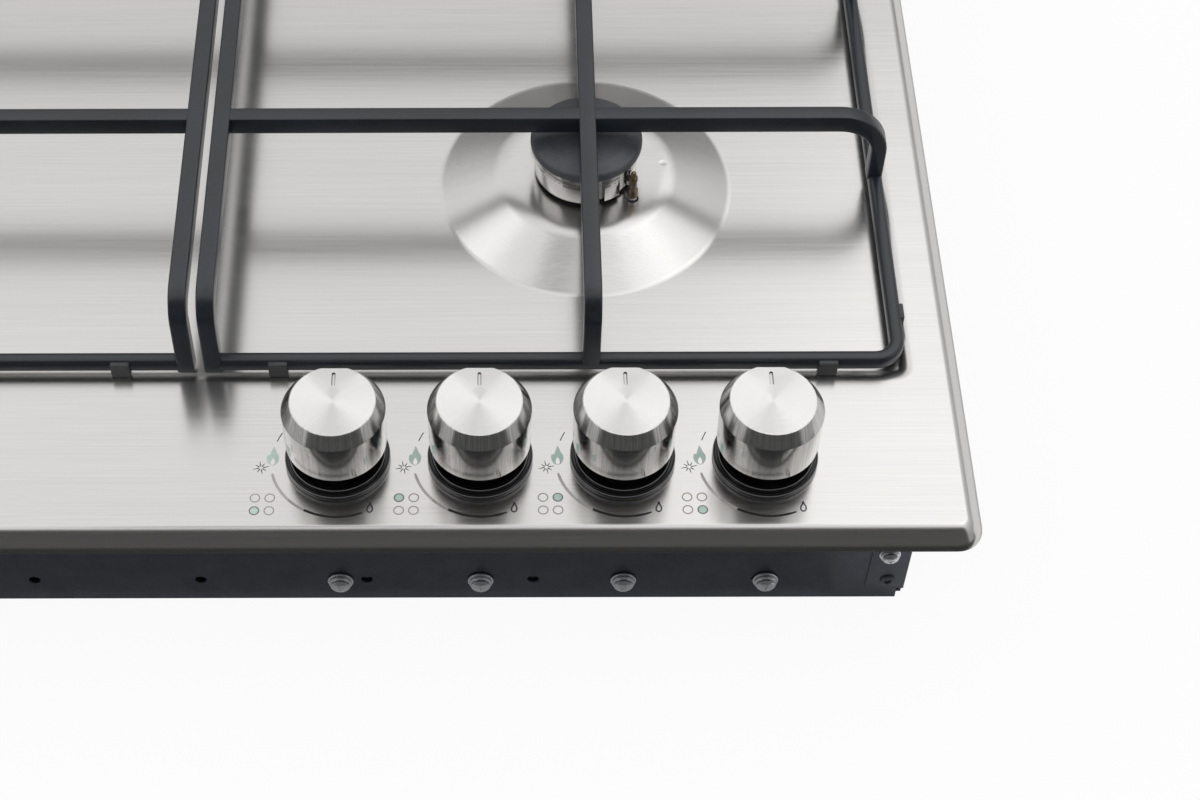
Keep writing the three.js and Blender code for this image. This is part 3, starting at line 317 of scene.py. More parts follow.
# Surface through a row of rings with the same number of points; a ring of one point is a pole.
def skin(rings, material, closedRow=False):
    vertices, faces, uvs, rows = [], [], [], []
    distance = 0.0
    for index, ring in enumerate(rings):
        if index:
            here, before = np.array(ring[0]), np.array(rings[index - 1][0])
            distance += float(np.linalg.norm(here - before))
        rows.append((range(len(vertices), len(vertices) + len(ring)), distance * mm))
        vertices.extend(ring)
    pairs = list(zip(rows, rows[1:]))
    if closedRow:
        pairs.append((rows[-1], rows[0]))
    for (lower, lowerAt), (upper, upperAt) in pairs:
        count = max(len(lower), len(upper))
        for i in range(count):
            j = (i + 1) % count
            a, b = i / count, (i + 1) / count
            if len(lower) == 1:
                faces.append((lower[0], upper[j], upper[i]))
                uvs.append([(lowerAt, a), (upperAt, b), (upperAt, a)])
            elif len(upper) == 1:
                faces.append((lower[i], lower[j], upper[0]))
                uvs.append([(lowerAt, a), (lowerAt, b), (upperAt, a)])
            else:
                faces.append((lower[i], lower[j], upper[j], upper[i]))
                uvs.append([(lowerAt, a), (lowerAt, b), (upperAt, b), (upperAt, a)])
    return {"vertices": vertices, "faces": faces, "uvs": uvs, "material": material}


def circle(x, y, radius, count):
    turns = [2 * math.pi * i / count for i in range(count)]
    return [(x + radius * math.cos(a), y + radius * math.sin(a)) for a in turns]


def arcPoints(x, y, radiusX, radiusY, start, end, steps=12):
    turns = [math.radians(start + (end - start) * i / steps) for i in range(steps + 1)]
    return [(x + radiusX * math.cos(a), y + radiusY * math.sin(a)) for a in turns]


def roundedBox(halfX, halfY, radius, steps, x=0.0, y=0.0):
    points = []
    for signX, signY, start in ((1, -1, -90), (1, 1, 0), (-1, 1, 90), (-1, -1, 180)):
        points += arcPoints(x + signX * (halfX - radius), y + signY * (halfY - radius), radius, radius,
                            start, start + 90, steps)
    return points


# A profile of radii and heights turned round an upright axis.
def lathe(profile, material, centre, segments, closedRow=False):
    rings = []
    for radius, height in profile:
        ring = [centre] if radius < 1e-6 else circle(*centre, radius, segments)
        rings.append([(x, y, height) for x, y in ring])
    return skin(rings, material, closedRow)


def moved(part, offset=(0.0, 0.0, 0.0), place=None):
    change = place or (lambda p: (p[0] + offset[0], p[1] + offset[1], p[2] + offset[2]))
    return {**part, "vertices": [change(vertex) for vertex in part["vertices"]]}


def signedArea(outline):
    return sum(a[0] * b[1] - b[0] * a[1] for a, b in zip(outline, outline[1:] + outline[:1])) / 2


def insetOutline(outline, distance):
    points = np.array(outline, float)
    ahead = np.roll(points, -1, axis=0) - points
    ahead /= np.linalg.norm(ahead, axis=1)[:, None]
    normal = np.stack([-ahead[:, 1], ahead[:, 0]], axis=1)
    before = np.roll(normal, 1, axis=0)
    both = normal + before
    scale = 2 / np.maximum((both ** 2).sum(axis=1), 0.3)
    return points + both * scale[:, None] * distance


# A flat outline given thickness, with rounded edges. The result lies in the XY plane from 0 upwards.
def slab(outline, thickness, edge, material, steps=3):
    if signedArea(outline) < 0:
        outline = outline[::-1]
    rings = []
    for step in range(steps + 1):
        angle = math.pi / 2 * step / steps
        rings.append((edge * (1 - math.sin(angle)), edge * (1 - math.cos(angle))))
    rings += [(inset, thickness - height) for inset, height in rings[::-1]]
    layers = [[(x, y, height) for x, y in insetOutline(outline, inset)] for inset, height in rings]
    part = skin(layers, material)
    count = len(outline)
    last = len(part["vertices"]) - count
    part["faces"] += [tuple(range(count))[::-1], tuple(range(last, last + count))]
    part["uvs"] += [[(x * mm, y * mm) for x, y in outline]] * 2
    return part


# Triangles between nested outlines, lifted to a height that is known at every point,
# with the true slope as the shading normal.
def drapedSheet(loops, holes, heightAt):
    points, edges = [], []
    for loop in loops:
        first = len(points)
        points.extend(loop)
        edges.extend((first + i, first + (i + 1) % len(loop)) for i in range(len(loop)))
    flat, _, faces, _, _, _ = delaunay_2d_cdt([Vector(p) for p in points], edges, [], 1, 1e-5)
    plan = np.array([tuple(p) for p in flat])
    faces = np.array([face for face in faces if len(face) == 3])
    middle = plan[faces].mean(axis=1)
    keep = np.ones(len(faces), bool)
    for x, y, radius in holes:
        keep &= np.hypot(middle[:, 0] - x, middle[:, 1] - y) > radius * 0.995
    faces = faces[keep]
    used = np.unique(faces)
    renumber = np.full(len(plan), -1)
    renumber[used] = np.arange(len(used))
    plan, faces = plan[used], renumber[faces]
    height = heightAt(plan[:, 0], plan[:, 1])
    step = 0.01
    slopeX = (heightAt(plan[:, 0] + step, plan[:, 1]) - heightAt(plan[:, 0] - step, plan[:, 1])) / (2 * step)
    slopeY = (heightAt(plan[:, 0], plan[:, 1] + step) - heightAt(plan[:, 0], plan[:, 1] - step)) / (2 * step)
    normals = np.stack([-slopeX, -slopeY, np.ones(len(plan))], axis=1)
    normals /= np.linalg.norm(normals, axis=1)[:, None]
    return plan, faces, height, normals


def drapedPart(loops, heightAt, material):
    plan, faces, height, _ = drapedSheet(loops, [], heightAt)
    return {"vertices": [(x, y, z) for (x, y), z in zip(plan, height)],
            "faces": [tuple(int(i) for i in face) for face in faces], "material": material}


# The draped sheet with its underside and edges, ready for Blender and in metres.
def sheetMesh(name, plan, faces, height, normals, thickness, material):
    count = len(plan)
    top = np.column_stack([plan, height])
    under = top - normals * thickness
    vertices = np.vstack([top, under]) * mm
    sides = {}
    for a, b, c in faces:
        for pair in ((a, b), (b, c), (c, a)):
            if pair[::-1] in sides:
                del sides[pair[::-1]]
            else:
                sides[pair] = True
    walls = [(b, a, a + count, b + count) for a, b in sides]
    polygons = [tuple(int(i) for i in f) for f in faces]
    polygons += [tuple(int(i) + count for i in f[::-1]) for f in faces]
    polygons += [tuple(int(i) for i in wall) for wall in walls]
    mesh = bpy.data.meshes.new(name)
    mesh.from_pydata(vertices.tolist(), [], polygons)
    mesh.materials.append(materials[material])
    layer = mesh.uv_layers.new(name="grainUv")
    corners = np.zeros(len(mesh.loops), int)
    mesh.loops.foreach_get("vertex_index", corners)
    layer.data.foreach_set("uv", vertices[corners][:, [1, 0]].ravel())  # the grain runs from side to side
    mesh.shade_smooth()
    mesh.update()
    shading = np.vstack([normals, -normals])[corners]
    for polygon in mesh.polygons[2 * len(faces):]:
        shading[list(polygon.loop_indices)] = polygon.normal
    mesh.normals_split_custom_set(shading.tolist())
    return mesh


# The larger of a value and nought, rounded over where they meet.
def softMax(value, width):
    return np.where(value < -width, 0, np.where(value > width, value, (value + width) ** 2 / (4 * width)))


# How far a point lies inside the edge of a box with rounded corners.
def insideBox(x, y, halfX, halfY, radius, atX, atY):
    qx, qy = np.abs(x - atX) - (halfX - radius), np.abs(y - atY) - (halfY - radius)
    outside = np.hypot(np.maximum(qx, 0), np.maximum(qy, 0)) + np.minimum(np.maximum(qx, qy), 0)
    return radius - outside


# The plate's height is known at every point; the rows below say where the sheet is bent and
# so needs its points: insets from the rim, shares of the well's slope, and radii.
def makePlate():
    plate = {"halfWidth": 290.0, "halfDepth": 255.0, "cornerRadius": 10.0, "thickness": 1.0, "worktop": 52.5,
             "rimHeight": 8.0, "rimSlope": 5.0, "lip": 1.0, "lipWidth": 0.15, "creaseSoftness": 3.2,
             "wellHalfWidth": 272.0, "wellHalfDepth": 208.0, "wellCorner": 8.0, "wellDrop": 1.5,
             "wellSlope": 6.0, "embossRadius": 58.4, "embossTop": 34.5, "embossHeight": 9.2,
             "footSoftness": 0.45, "topSoftness": 1.0,
             "spotTurn": 7.0, "spotReach": 31.8, "spotRadius": 2.0, "spotDepth": 0.2,
             "burnerHole": 17.6, "knobHole": 6.0, "probeHole": 2.6, "electrodeHole": 3.6}
    rimRows = (0, 0.15, 1.6, 3.0, 3.6, 4.0, 4.3, 4.6, 4.9, 5.2, 5.5, 5.8, 6.1, 6.5, 7.0, 7.6)
    wellRows = (-0.1, 0, 0.12, 0.25, 0.38, 0.5, 0.62, 0.74, 0.85, 0.94, 0.98, 1.02, 1.08)
    embossRows = (60.4, 59.6, 59.2, 58.8, 58.4, 58.0, 57.6, 57.2, 56.4, 50, 44, 39, 37.4, 36.6, 35.8, 35.1,
                  34.4, 29.4, 21.0, 18.4)
    spotRows = (0.5, 1.0, 1.5, 2.0, 2.4)
    spots = {name: fromBurner(name, plate["spotReach"], plate["spotTurn"]) for name in burnerNames}

    def heightAt(x, y):
        edge = insideBox(x, y, plate["halfWidth"], plate["halfDepth"], plate["cornerRadius"], 0, 0)
        lip, lipWidth = plate["lip"], plate["lipWidth"]
        slope = (plate["rimHeight"] - lip) / (plate["rimSlope"] - lipWidth)
        rise = np.where(edge < lipWidth, edge / lipWidth * lip, lip + (edge - lipWidth) * slope)
        height = plate["rimHeight"] - softMax(plate["rimHeight"] - rise, plate["creaseSoftness"])
        well = insideBox(x, y, plate["wellHalfWidth"], plate["wellHalfDepth"], plate["wellCorner"],
                         0, middleY)
        share = np.clip(well / plate["wellSlope"], 0, 1)
        height = height - plate["wellDrop"] * share * share
        top = plate["embossHeight"]
        for name, (burnerX, burnerY) in burnerCentres.items():
            reach = np.hypot(x - burnerX, y - burnerY)
            cone = (plate["embossRadius"] - reach) * top / (plate["embossRadius"] - plate["embossTop"])
            height = height + top - softMax(top - softMax(cone, plate["footSoftness"]), plate["topSoftness"])
            spot = np.hypot(x - spots[name][0], y - spots[name][1])
            dent = np.clip(1 - spot / plate["spotRadius"], 0, 1)
            height = height - plate["spotDepth"] * dent * dent * (3 - 2 * dent)
        return height + plate["worktop"]

    loops, holes = [], []

    def punch(centre, radius, count):
        loops.append(circle(*centre, radius, count))
        holes.append((*centre, radius))

    for inset in rimRows:
        loops.append(roundedBox(plate["halfWidth"] - inset, plate["halfDepth"] - inset,
                                max(plate["cornerRadius"] - inset, 1.2), 12))
    for share in wellRows:
        inset = share * plate["wellSlope"]
        loops.append(roundedBox(plate["wellHalfWidth"] - inset, plate["wellHalfDepth"] - inset,
                                plate["wellCorner"] - inset, 12, 0, middleY))
    for name, centre in burnerCentres.items():
        loops += [circle(*centre, radius, 128) for radius in embossRows]
        punch(centre, plate["burnerHole"], 96)
        punch(fromBurner(name, probeReach, probeAngle), plate["probeHole"], 24)
        punch(fromBurner(name, probeReach, probeAngle + 180), plate["electrodeHole"], 24)
        loops += [circle(*spots[name], radius, 20) for radius in spotRows]
    for centre in knobCentres.values():
        punch(centre, plate["knobHole"], 48)
    sheet = drapedSheet(loops, holes, heightAt)
    mesh = sheetMesh("top_plate_pressed", *sheet, plate["thickness"], "stainless")
    piece = addObject("top_plate_pressed", mesh)
    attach(piece, "hob")
    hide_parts("top_plate")
    return len(mesh.polygons)


print("top plate faces:", makePlate())


# Geometry Nodes trees for what repeats or follows a path. Each has named inputs, and its
# result becomes a plain mesh at once.
def startTree(name, **inputs):
    tree = bpy.data.node_groups.new(name, "GeometryNodeTree")
    tree.interface.new_socket("Geometry", in_out="INPUT", socket_type="NodeSocketGeometry")
    identifiers = {}
    for label, kind in inputs.items():
        socket = tree.interface.new_socket(label, in_out="INPUT", socket_type="NodeSocket" + kind)
        identifiers[label] = socket.identifier
    tree.interface.new_socket("Geometry", in_out="OUTPUT", socket_type="NodeSocketGeometry")
    return tree, addNode(tree, "NodeGroupInput"), identifiers


def endTree(tree, entry, geometry):
    real = addNode(tree, "GeometryNodeRealizeInstances", links={"Geometry": geometry})
    painted = addNode(tree, "GeometryNodeSetMaterial",
                      links={"Geometry": real.outputs[0], "Material": entry.outputs["Material"]})
    addNode(tree, "NodeGroupOutput", links={"Geometry": painted.outputs[0]})


def runTree(name, source, tree, identifiers, values):
    modifier = source.modifiers.new(name, "NODES")
    modifier.node_group = tree
    for label, value in values.items():
        modifier[identifiers[label]] = value
    graph = bpy.context.evaluated_depsgraph_get()
    mesh = bpy.data.meshes.new_from_object(source.evaluated_get(graph), depsgraph=graph)
    source.modifiers.remove(modifier)
    bpy.data.objects.remove(source)
    mesh.name = name
    return mesh


def lineObject(name, runs):
    vertices, edges = [], []
    for run in runs:
        first = len(vertices)
        vertices.extend(tuple(c * mm for c in point) for point in run)
        edges.extend((first + i, first + i + 1) for i in range(len(run) - 1))
    mesh = bpy.data.meshes.new(name)
    mesh.from_pydata(vertices, edges, [])
    return addObject(name, mesh)


def partOf(mesh, material):
    vertices = [tuple(c / mm for c in vertex.co) for vertex in mesh.vertices]
    return {"vertices": vertices, "faces": [tuple(p.vertices) for p in mesh.polygons], "material": material}


def barTree():
    tree, entry, identifiers = startTree(
        "bar_along_path", Width="Float", Height="Float", Edge="Float", Side="Vector", Material="Material")
    path = addNode(tree, "GeometryNodeMeshToCurve", links={"Mesh": entry.outputs["Geometry"]})
    standing = addNode(tree, "GeometryNodeSetCurveNormal",
                      links={"Curve": path.outputs[0], "Normal": entry.outputs["Side"]}, mode="FREE")
    section = addNode(tree, "GeometryNodeCurvePrimitiveQuadrilateral",
                      links={"Width": entry.outputs["Width"], "Height": entry.outputs["Height"]})
    eased = addNode(tree, "GeometryNodeFilletCurve", {"Count": 4},
                    {"Curve": section.outputs[0], "Radius": entry.outputs["Edge"]}, mode="POLY")
    body = addNode(tree, "GeometryNodeCurveToMesh", {"Fill Caps": True},
                   {"Curve": standing.outputs[0], "Profile Curve": eased.outputs[0]})
    endTree(tree, entry, body.outputs[0])
    return tree, identifiers


def copiesTree():
    tree, entry, identifiers = startTree("copies_on_points", Copy="Object", Material="Material")
    points = addNode(tree, "GeometryNodeMeshToPoints", links={"Mesh": entry.outputs["Geometry"]})
    copy = addNode(tree, "GeometryNodeObjectInfo", links={"Object": entry.outputs["Copy"]})
    turn = addNode(tree, "GeometryNodeInputNamedAttribute", {"Name": "turn"}, data_type="FLOAT_VECTOR")
    placed = addNode(tree, "GeometryNodeInstanceOnPoints", links={
        "Points": points.outputs[0], "Instance": copy.outputs["Geometry"], "Rotation": turn.outputs[0]})
    endTree(tree, entry, placed.outputs[0])
    return tree, identifiers


def pipeTree():
    tree, entry, identifiers = startTree(
        "pipe_along_path", Radius="Float", Bend="Float", Material="Material")
    path = addNode(tree, "GeometryNodeMeshToCurve", links={"Mesh": entry.outputs["Geometry"]})
    eased = addNode(tree, "GeometryNodeFilletCurve", {"Count": 10, "Limit Radius": True},
                    {"Curve": path.outputs[0], "Radius": entry.outputs["Bend"]}, mode="POLY")
    ring = addNode(tree, "GeometryNodeCurvePrimitiveCircle", {"Resolution": 28},
                   {"Radius": entry.outputs["Radius"]})
    body = addNode(tree, "GeometryNodeCurveToMesh", {"Fill Caps": True},
                   {"Curve": eased.outputs[0], "Profile Curve": ring.outputs[0]})
    endTree(tree, entry, body.outputs[0])
    return tree, identifiers


barNodes, copyNodes, pipeNodes = barTree(), copiesTree(), pipeTree()


# Copies of one part, each at a place and with a turn about the three axes.
def copiesOf(name, part, places, material):
    shape = bpy.data.meshes.new(name + "_one")
    shape.from_pydata([tuple(c * mm for c in vertex) for vertex in part["vertices"]], [], part["faces"])
    one = addObject(name + "_one", shape)
    holder = lineObject(name, [[place] for place, _ in places])
    turns = holder.data.attributes.new("turn", "FLOAT_VECTOR", "POINT")
    turns.data.foreach_set("vector", [angle for _, turn in places for angle in turn])
    mesh = runTree(name, holder, *copyNodes, {"Copy": one, "Material": materials[material]})
    bpy.data.objects.remove(one)
    return partOf(mesh, material)


grateSizes = {"inner": 1.8, "outer": 268.0, "halfLength": 204.0, "barTop": 101.2, "barWidth": 6.7,
              "barHeight": 8.0, "barEdge": 0.7, "longBend": 12.0, "crossBend": 20.0, "leg": 6.2,
              "crossDrop": 0.25, "barRows": (-106.0, 0.0, 106.0), "midBar": 148.5, "weldLevel": 4.0,
              "frameBase": 61.7, "frameWidth": 5.5, "frameHeight": 6.6, "frameEdge": 2.1, "frameCorner": 12.0}


# Side view of a bar that bends down into a leg at its end, or at both ends.
def bridge(start, end, bend, foot, top, startLeg):
    size = grateSizes
    under, leg = top - size["barHeight"], size["leg"]
    innerX, innerY = bend - leg, bend - size["barHeight"]
    outline = []
    if startLeg:
        outline += [(start + leg, foot), (start, foot)]
        outline += arcPoints(start + bend, top - bend, bend, bend, 180, 90)
    else:
        outline += [(start, under), (start, top)]
    outline += arcPoints(end - bend, top - bend, bend, bend, 90, 0)
    outline += [(end, foot), (end - leg, foot)]
    outline += arcPoints(end - bend, top - bend, innerX, innerY, 0, 90)
    if startLeg:
        outline += arcPoints(start + bend, top - bend, innerX, innerY, 90, 180)
    return outline


# Bars, frame bar and rubber feet of one grate; the left one is the right one turned by half a turn.
def makeGrate(side):
    size = grateSizes
    width, edge, weld = size["barWidth"], size["barEdge"], size["frameBase"] + size["weldLevel"]
    half, turn, ends = size["frameWidth"] / 2, size["frameCorner"], size["halfLength"]
    parts = []
    for x, foot in ((size["inner"] + width / 2, size["frameBase"]), (size["midBar"], weld)):
        outline = bridge(-ends, ends, size["longBend"], foot, size["barTop"], True)
        bar = slab(outline, width, edge, "barEnamel")
        parts.append(moved(bar, place=lambda p, at=x: (at - width / 2 + p[2], p[0], p[1])))
    for y in size["barRows"]:
        outline = bridge(size["inner"] + width / 2, size["outer"], size["crossBend"], weld,
                         size["barTop"] - size["crossDrop"], False)
        bar = slab(outline, width, edge, "barEnamel")
        parts.append(moved(bar, place=lambda p, at=y: (p[0], at + width / 2 - p[2], p[1])))
    level = size["frameBase"] + size["frameHeight"] / 2
    line = [(size["inner"] + 2, half - ends)]
    line += arcPoints(size["outer"] - turn, turn - ends, turn - half, turn - half, -90, 0)
    line += arcPoints(size["outer"] - turn, ends - turn, turn - half, turn - half, 0, 90)
    line += [(size["inner"] + 2, ends - half)]
    holder = lineObject("frame_path", [[(x, y, level) for x, y in line]])
    frameMesh = runTree("grate_frame", holder, *barNodes, {
        "Width": size["frameHeight"] * mm, "Height": size["frameWidth"] * mm, "Edge": size["frameEdge"] * mm,
        "Side": (0.0, 0.0, 1.0), "Material": materials["barEnamel"]})
    parts.append(partOf(frameMesh, "barEnamel"))
    turned = 1 if side == "right" else -1
    bars = [moved(part, place=lambda p: (p[0] * turned, p[1] * turned + middleY, p[2])) for part in parts]
    makePiece("grate_bars_" + side, bars, "grate_" + side, ["grate_" + side])

    foot = {"length": 7.2, "outward": 1.2, "back": 1.6, "rise": 5.8, "under": 1.5, "round": 0.45,
            "along": (-105.0, 103.3), "beside": 179.0}
    deep = size["frameWidth"] + foot["outward"] - foot["back"]
    block = slab(roundedBox(foot["length"] / 2, deep / 2, foot["round"], 3),
                 foot["under"] + foot["rise"], foot["round"], "rubber")
    low = size["frameBase"] - foot["under"]
    middleX = (size["inner"] + size["outer"]) / 2
    reach = (foot["outward"] + foot["back"]) / 2 - half
    spots = [((middleX + offset, sign * (ends + reach), low), 0.0)
             for sign in (-1, 1) for offset in foot["along"]]
    spots += [((size["outer"] + reach, sign * foot["beside"], low), math.pi / 2) for sign in (-1, 1)]
    places = [((x * turned, y * turned + middleY, z), (0.0, 0.0, angle)) for (x, y, z), angle in spots]
    feet = copiesOf("feet_" + side, block, places, "rubber")
    makePiece("grate_feet_" + side, [feet], "grate_" + side)


for sideName in ("right", "left"):
    makeGrate(sideName)
print("grates made")


# A ring with one flat side, which makes the knob's D outline. Inside the flat it is a full ring.
def flatRing(radius, height, flat):
    arcCount, chordCount = 104, 12
    half = math.acos(min(flat / radius, 1.0))
    turns = np.linspace(math.pi / 2 + half, 2.5 * math.pi - half, arcCount)
    points = [(radius * math.cos(a), radius * math.sin(a), height) for a in turns]
    reach, level = radius * math.sin(half), radius * math.cos(half)
    return points + [(x, level, height) for x in np.linspace(reach, -reach, chordCount + 2)[1:-1]]


# The knob's hollow, its polished side and the bevel round its face.
def knobParts(knob):
    foot, shoulder, face = knob["foot"], knob["shoulder"], knob["face"]
    wall, flat, hub = knob["wall"], knob["flat"], foot + 0.8
    inner = [(0, knob["boreTop"]), (knob["bore"], knob["boreTop"]), (knob["bore"], hub), (knob["hub"], hub),
             (knob["hub"], face - 2.6), (knob["faceRadius"] - wall - 1, face - 2.6),
             (knob["shoulderRadius"] - wall - 1, shoulder - 2), (knob["footRadius"] - wall, foot, 0.3)]
    outer = [(knob["footRadius"] - wall, foot), (knob["footRadius"], foot, 0.45),
             (knob["shoulderRadius"], shoulder, 0.3), (knob["faceRadius"], face, 0.2),
             (knob["faceRadius"] - 0.4, face)]
    innerLine, outerLine = rounded(inner, 3), rounded(outer, 5)
    turn = next(i for i, (_, z) in enumerate(outerLine) if z > shoulder)
    hollow = [[(0.0, 0.0, innerLine[0][1])]]
    hollow += [flatRing(r, z, flat - wall) for r, z in innerLine[1:]]
    shell = [flatRing(r, z, flat) for r, z in outerLine]
    parts = [skin(hollow, "castAluminium"), skin(shell[:turn + 1], "turnedBody"),
             skin(shell[turn:], "turnedBevel")]
    return parts, shell[-1]


# The face with its engraved pointer, a shallow slot sunk into the disc.
def knobFace(knob, rim):
    slotHalf, wall = knob["slotWidth"] / 2, knob["slotWall"]
    middle, half = (knob["slotEnd"] + knob["slotStart"]) / 2, (knob["slotEnd"] - knob["slotStart"]) / 2

    def intoSlot(x, y):
        return insideBox(x, y, slotHalf, half, slotHalf * 0.98, 0, middle)

    def heightAt(x, y):
        return knob["face"] - knob["slotDepth"] * np.clip(intoSlot(x, y) / wall, 0, 1)

    loops = [[(x, y) for x, y, _ in rim]]
    loops += [circle(0, 0, radius, 72) for radius in (1.2, 2.8, 4.8)]
    for inset in (0.0, wall / 2, wall):
        loops.append(roundedBox(slotHalf - inset, half - inset, (slotHalf - inset) * 0.98, 5, 0, middle))
    sheet = drapedPart(loops, heightAt, "turnedFaceLit")
    parts = {name: {"vertices": sheet["vertices"], "faces": [], "uvs": [], "material": name}
             for name in ("turnedFaceLit", "milledSlotShade")}
    for face in sheet["faces"]:
        corners = [sheet["vertices"][i] for i in face]
        angles = [math.atan2(y, x) / (2 * math.pi) for x, y, _ in corners]
        radii = [math.hypot(x, y) for x, y, _ in corners]
        reference = next((a for a, r in zip(angles, radii) if r > 0.3), angles[0])
        x, y = (sum(corner[axis] for corner in corners) / len(corners) for axis in (0, 1))
        # Faces on the slot's walls take the darker milled steel: painted shade along the slot's edge.
        part = parts["milledSlotShade" if 0.0 < float(intoSlot(x, y)) < wall else "turnedFaceLit"]
        part["faces"].append(face)
        part["uvs"].append([(r * mm, a + round(reference - a)) for r, a in zip(radii, angles)])
    return list(parts.values())


def makeControls():
    knob = {"foot": 72.2, "shoulder": 90.7, "face": 95.7, "footRadius": 18.6, "shoulderRadius": 18.9,
            "faceRadius": 15.65, "flat": 14.8, "wall": 1.8, "hub": 6.5, "bore": 4.3, "boreTop": 88.2,
            "slotWidth": 1.35, "slotStart": 6.8, "slotEnd": 12.9, "slotDepth": 0.7, "slotWall": 0.27}
    bezel = {"base": 60.8, "flange": 19.4, "flangeHeight": 2.0, "step": 18.9, "stepHeight": 2.7,
             "ring": 17.9, "height": 3.9, "hole": 6.4, "line": 0.24}
    spindle = {"radius": 4.0, "bottom": 35.4, "top": 87.8}
    body, rim = knobParts(knob)
    face = knobFace(knob, rim)
    low, hole, flange, step, ring = (bezel[key] for key in ("base", "hole", "flange", "step", "ring"))
    flangeTop, stepTop, top = (low + bezel[key] for key in ("flangeHeight", "stepHeight", "height"))
    ringLine = rounded([
        (hole, low), (flange, low, 0.2), (flange, flangeTop, 0.22), (step, flangeTop, 0.15),
        (step - 0.1, stepTop, 0.2), (ring, stepTop, 0.15), (ring - 0.2, top, 0.22), (ring - 1.6, top, 0.3),
        (ring - 2.2, top - 1.2, 0.3), (hole, top - 1.2)], 4)
    # Thin lighter rings on the top edges of the flange and of the ring: painted highlights.
    highlightLines = []
    for radius, level in ((flange, flangeTop), (ring - 0.2, top)):
        inner, under = radius - bezel["line"], level - bezel["line"] / 2
        highlightLines.append([(inner, under), (radius + 0.03, under), (radius - 0.02, level - 0.02),
                          (inner, level + 0.03)])
    shaftLine = rounded([(0, spindle["bottom"]), (spindle["radius"], spindle["bottom"], 0.4),
                         (spindle["radius"], spindle["top"], 0.5), (0, spindle["top"])], 3)
    for name in burnerNames:
        x, y = knobCentres[name]
        parts = [moved(part, (x, y, 0.0)) for part in (*body, *face)]
        makePiece("knob_turned_" + name, parts, "turn_" + name, ["knob_" + name], sharp=28.0)
        parts = [lathe(ringLine, "blackPlastic", (x, y), 128, True)]
        parts += [lathe(line, "plasticEdgeHighlight", (x, y), 128, True) for line in highlightLines]
        makePiece("knob_bezel_ring_" + name, parts, "hob", ["knob_bezel_" + name])
        makePiece("spindle_shaft_" + name, [lathe(shaftLine, "zinc", (x, y), 48)], "turn_" + name,
                  ["spindle_" + name])


makeControls()
print("controls made")


def apart(first, second):
    return abs((first - second + 180) % 360 - 180)


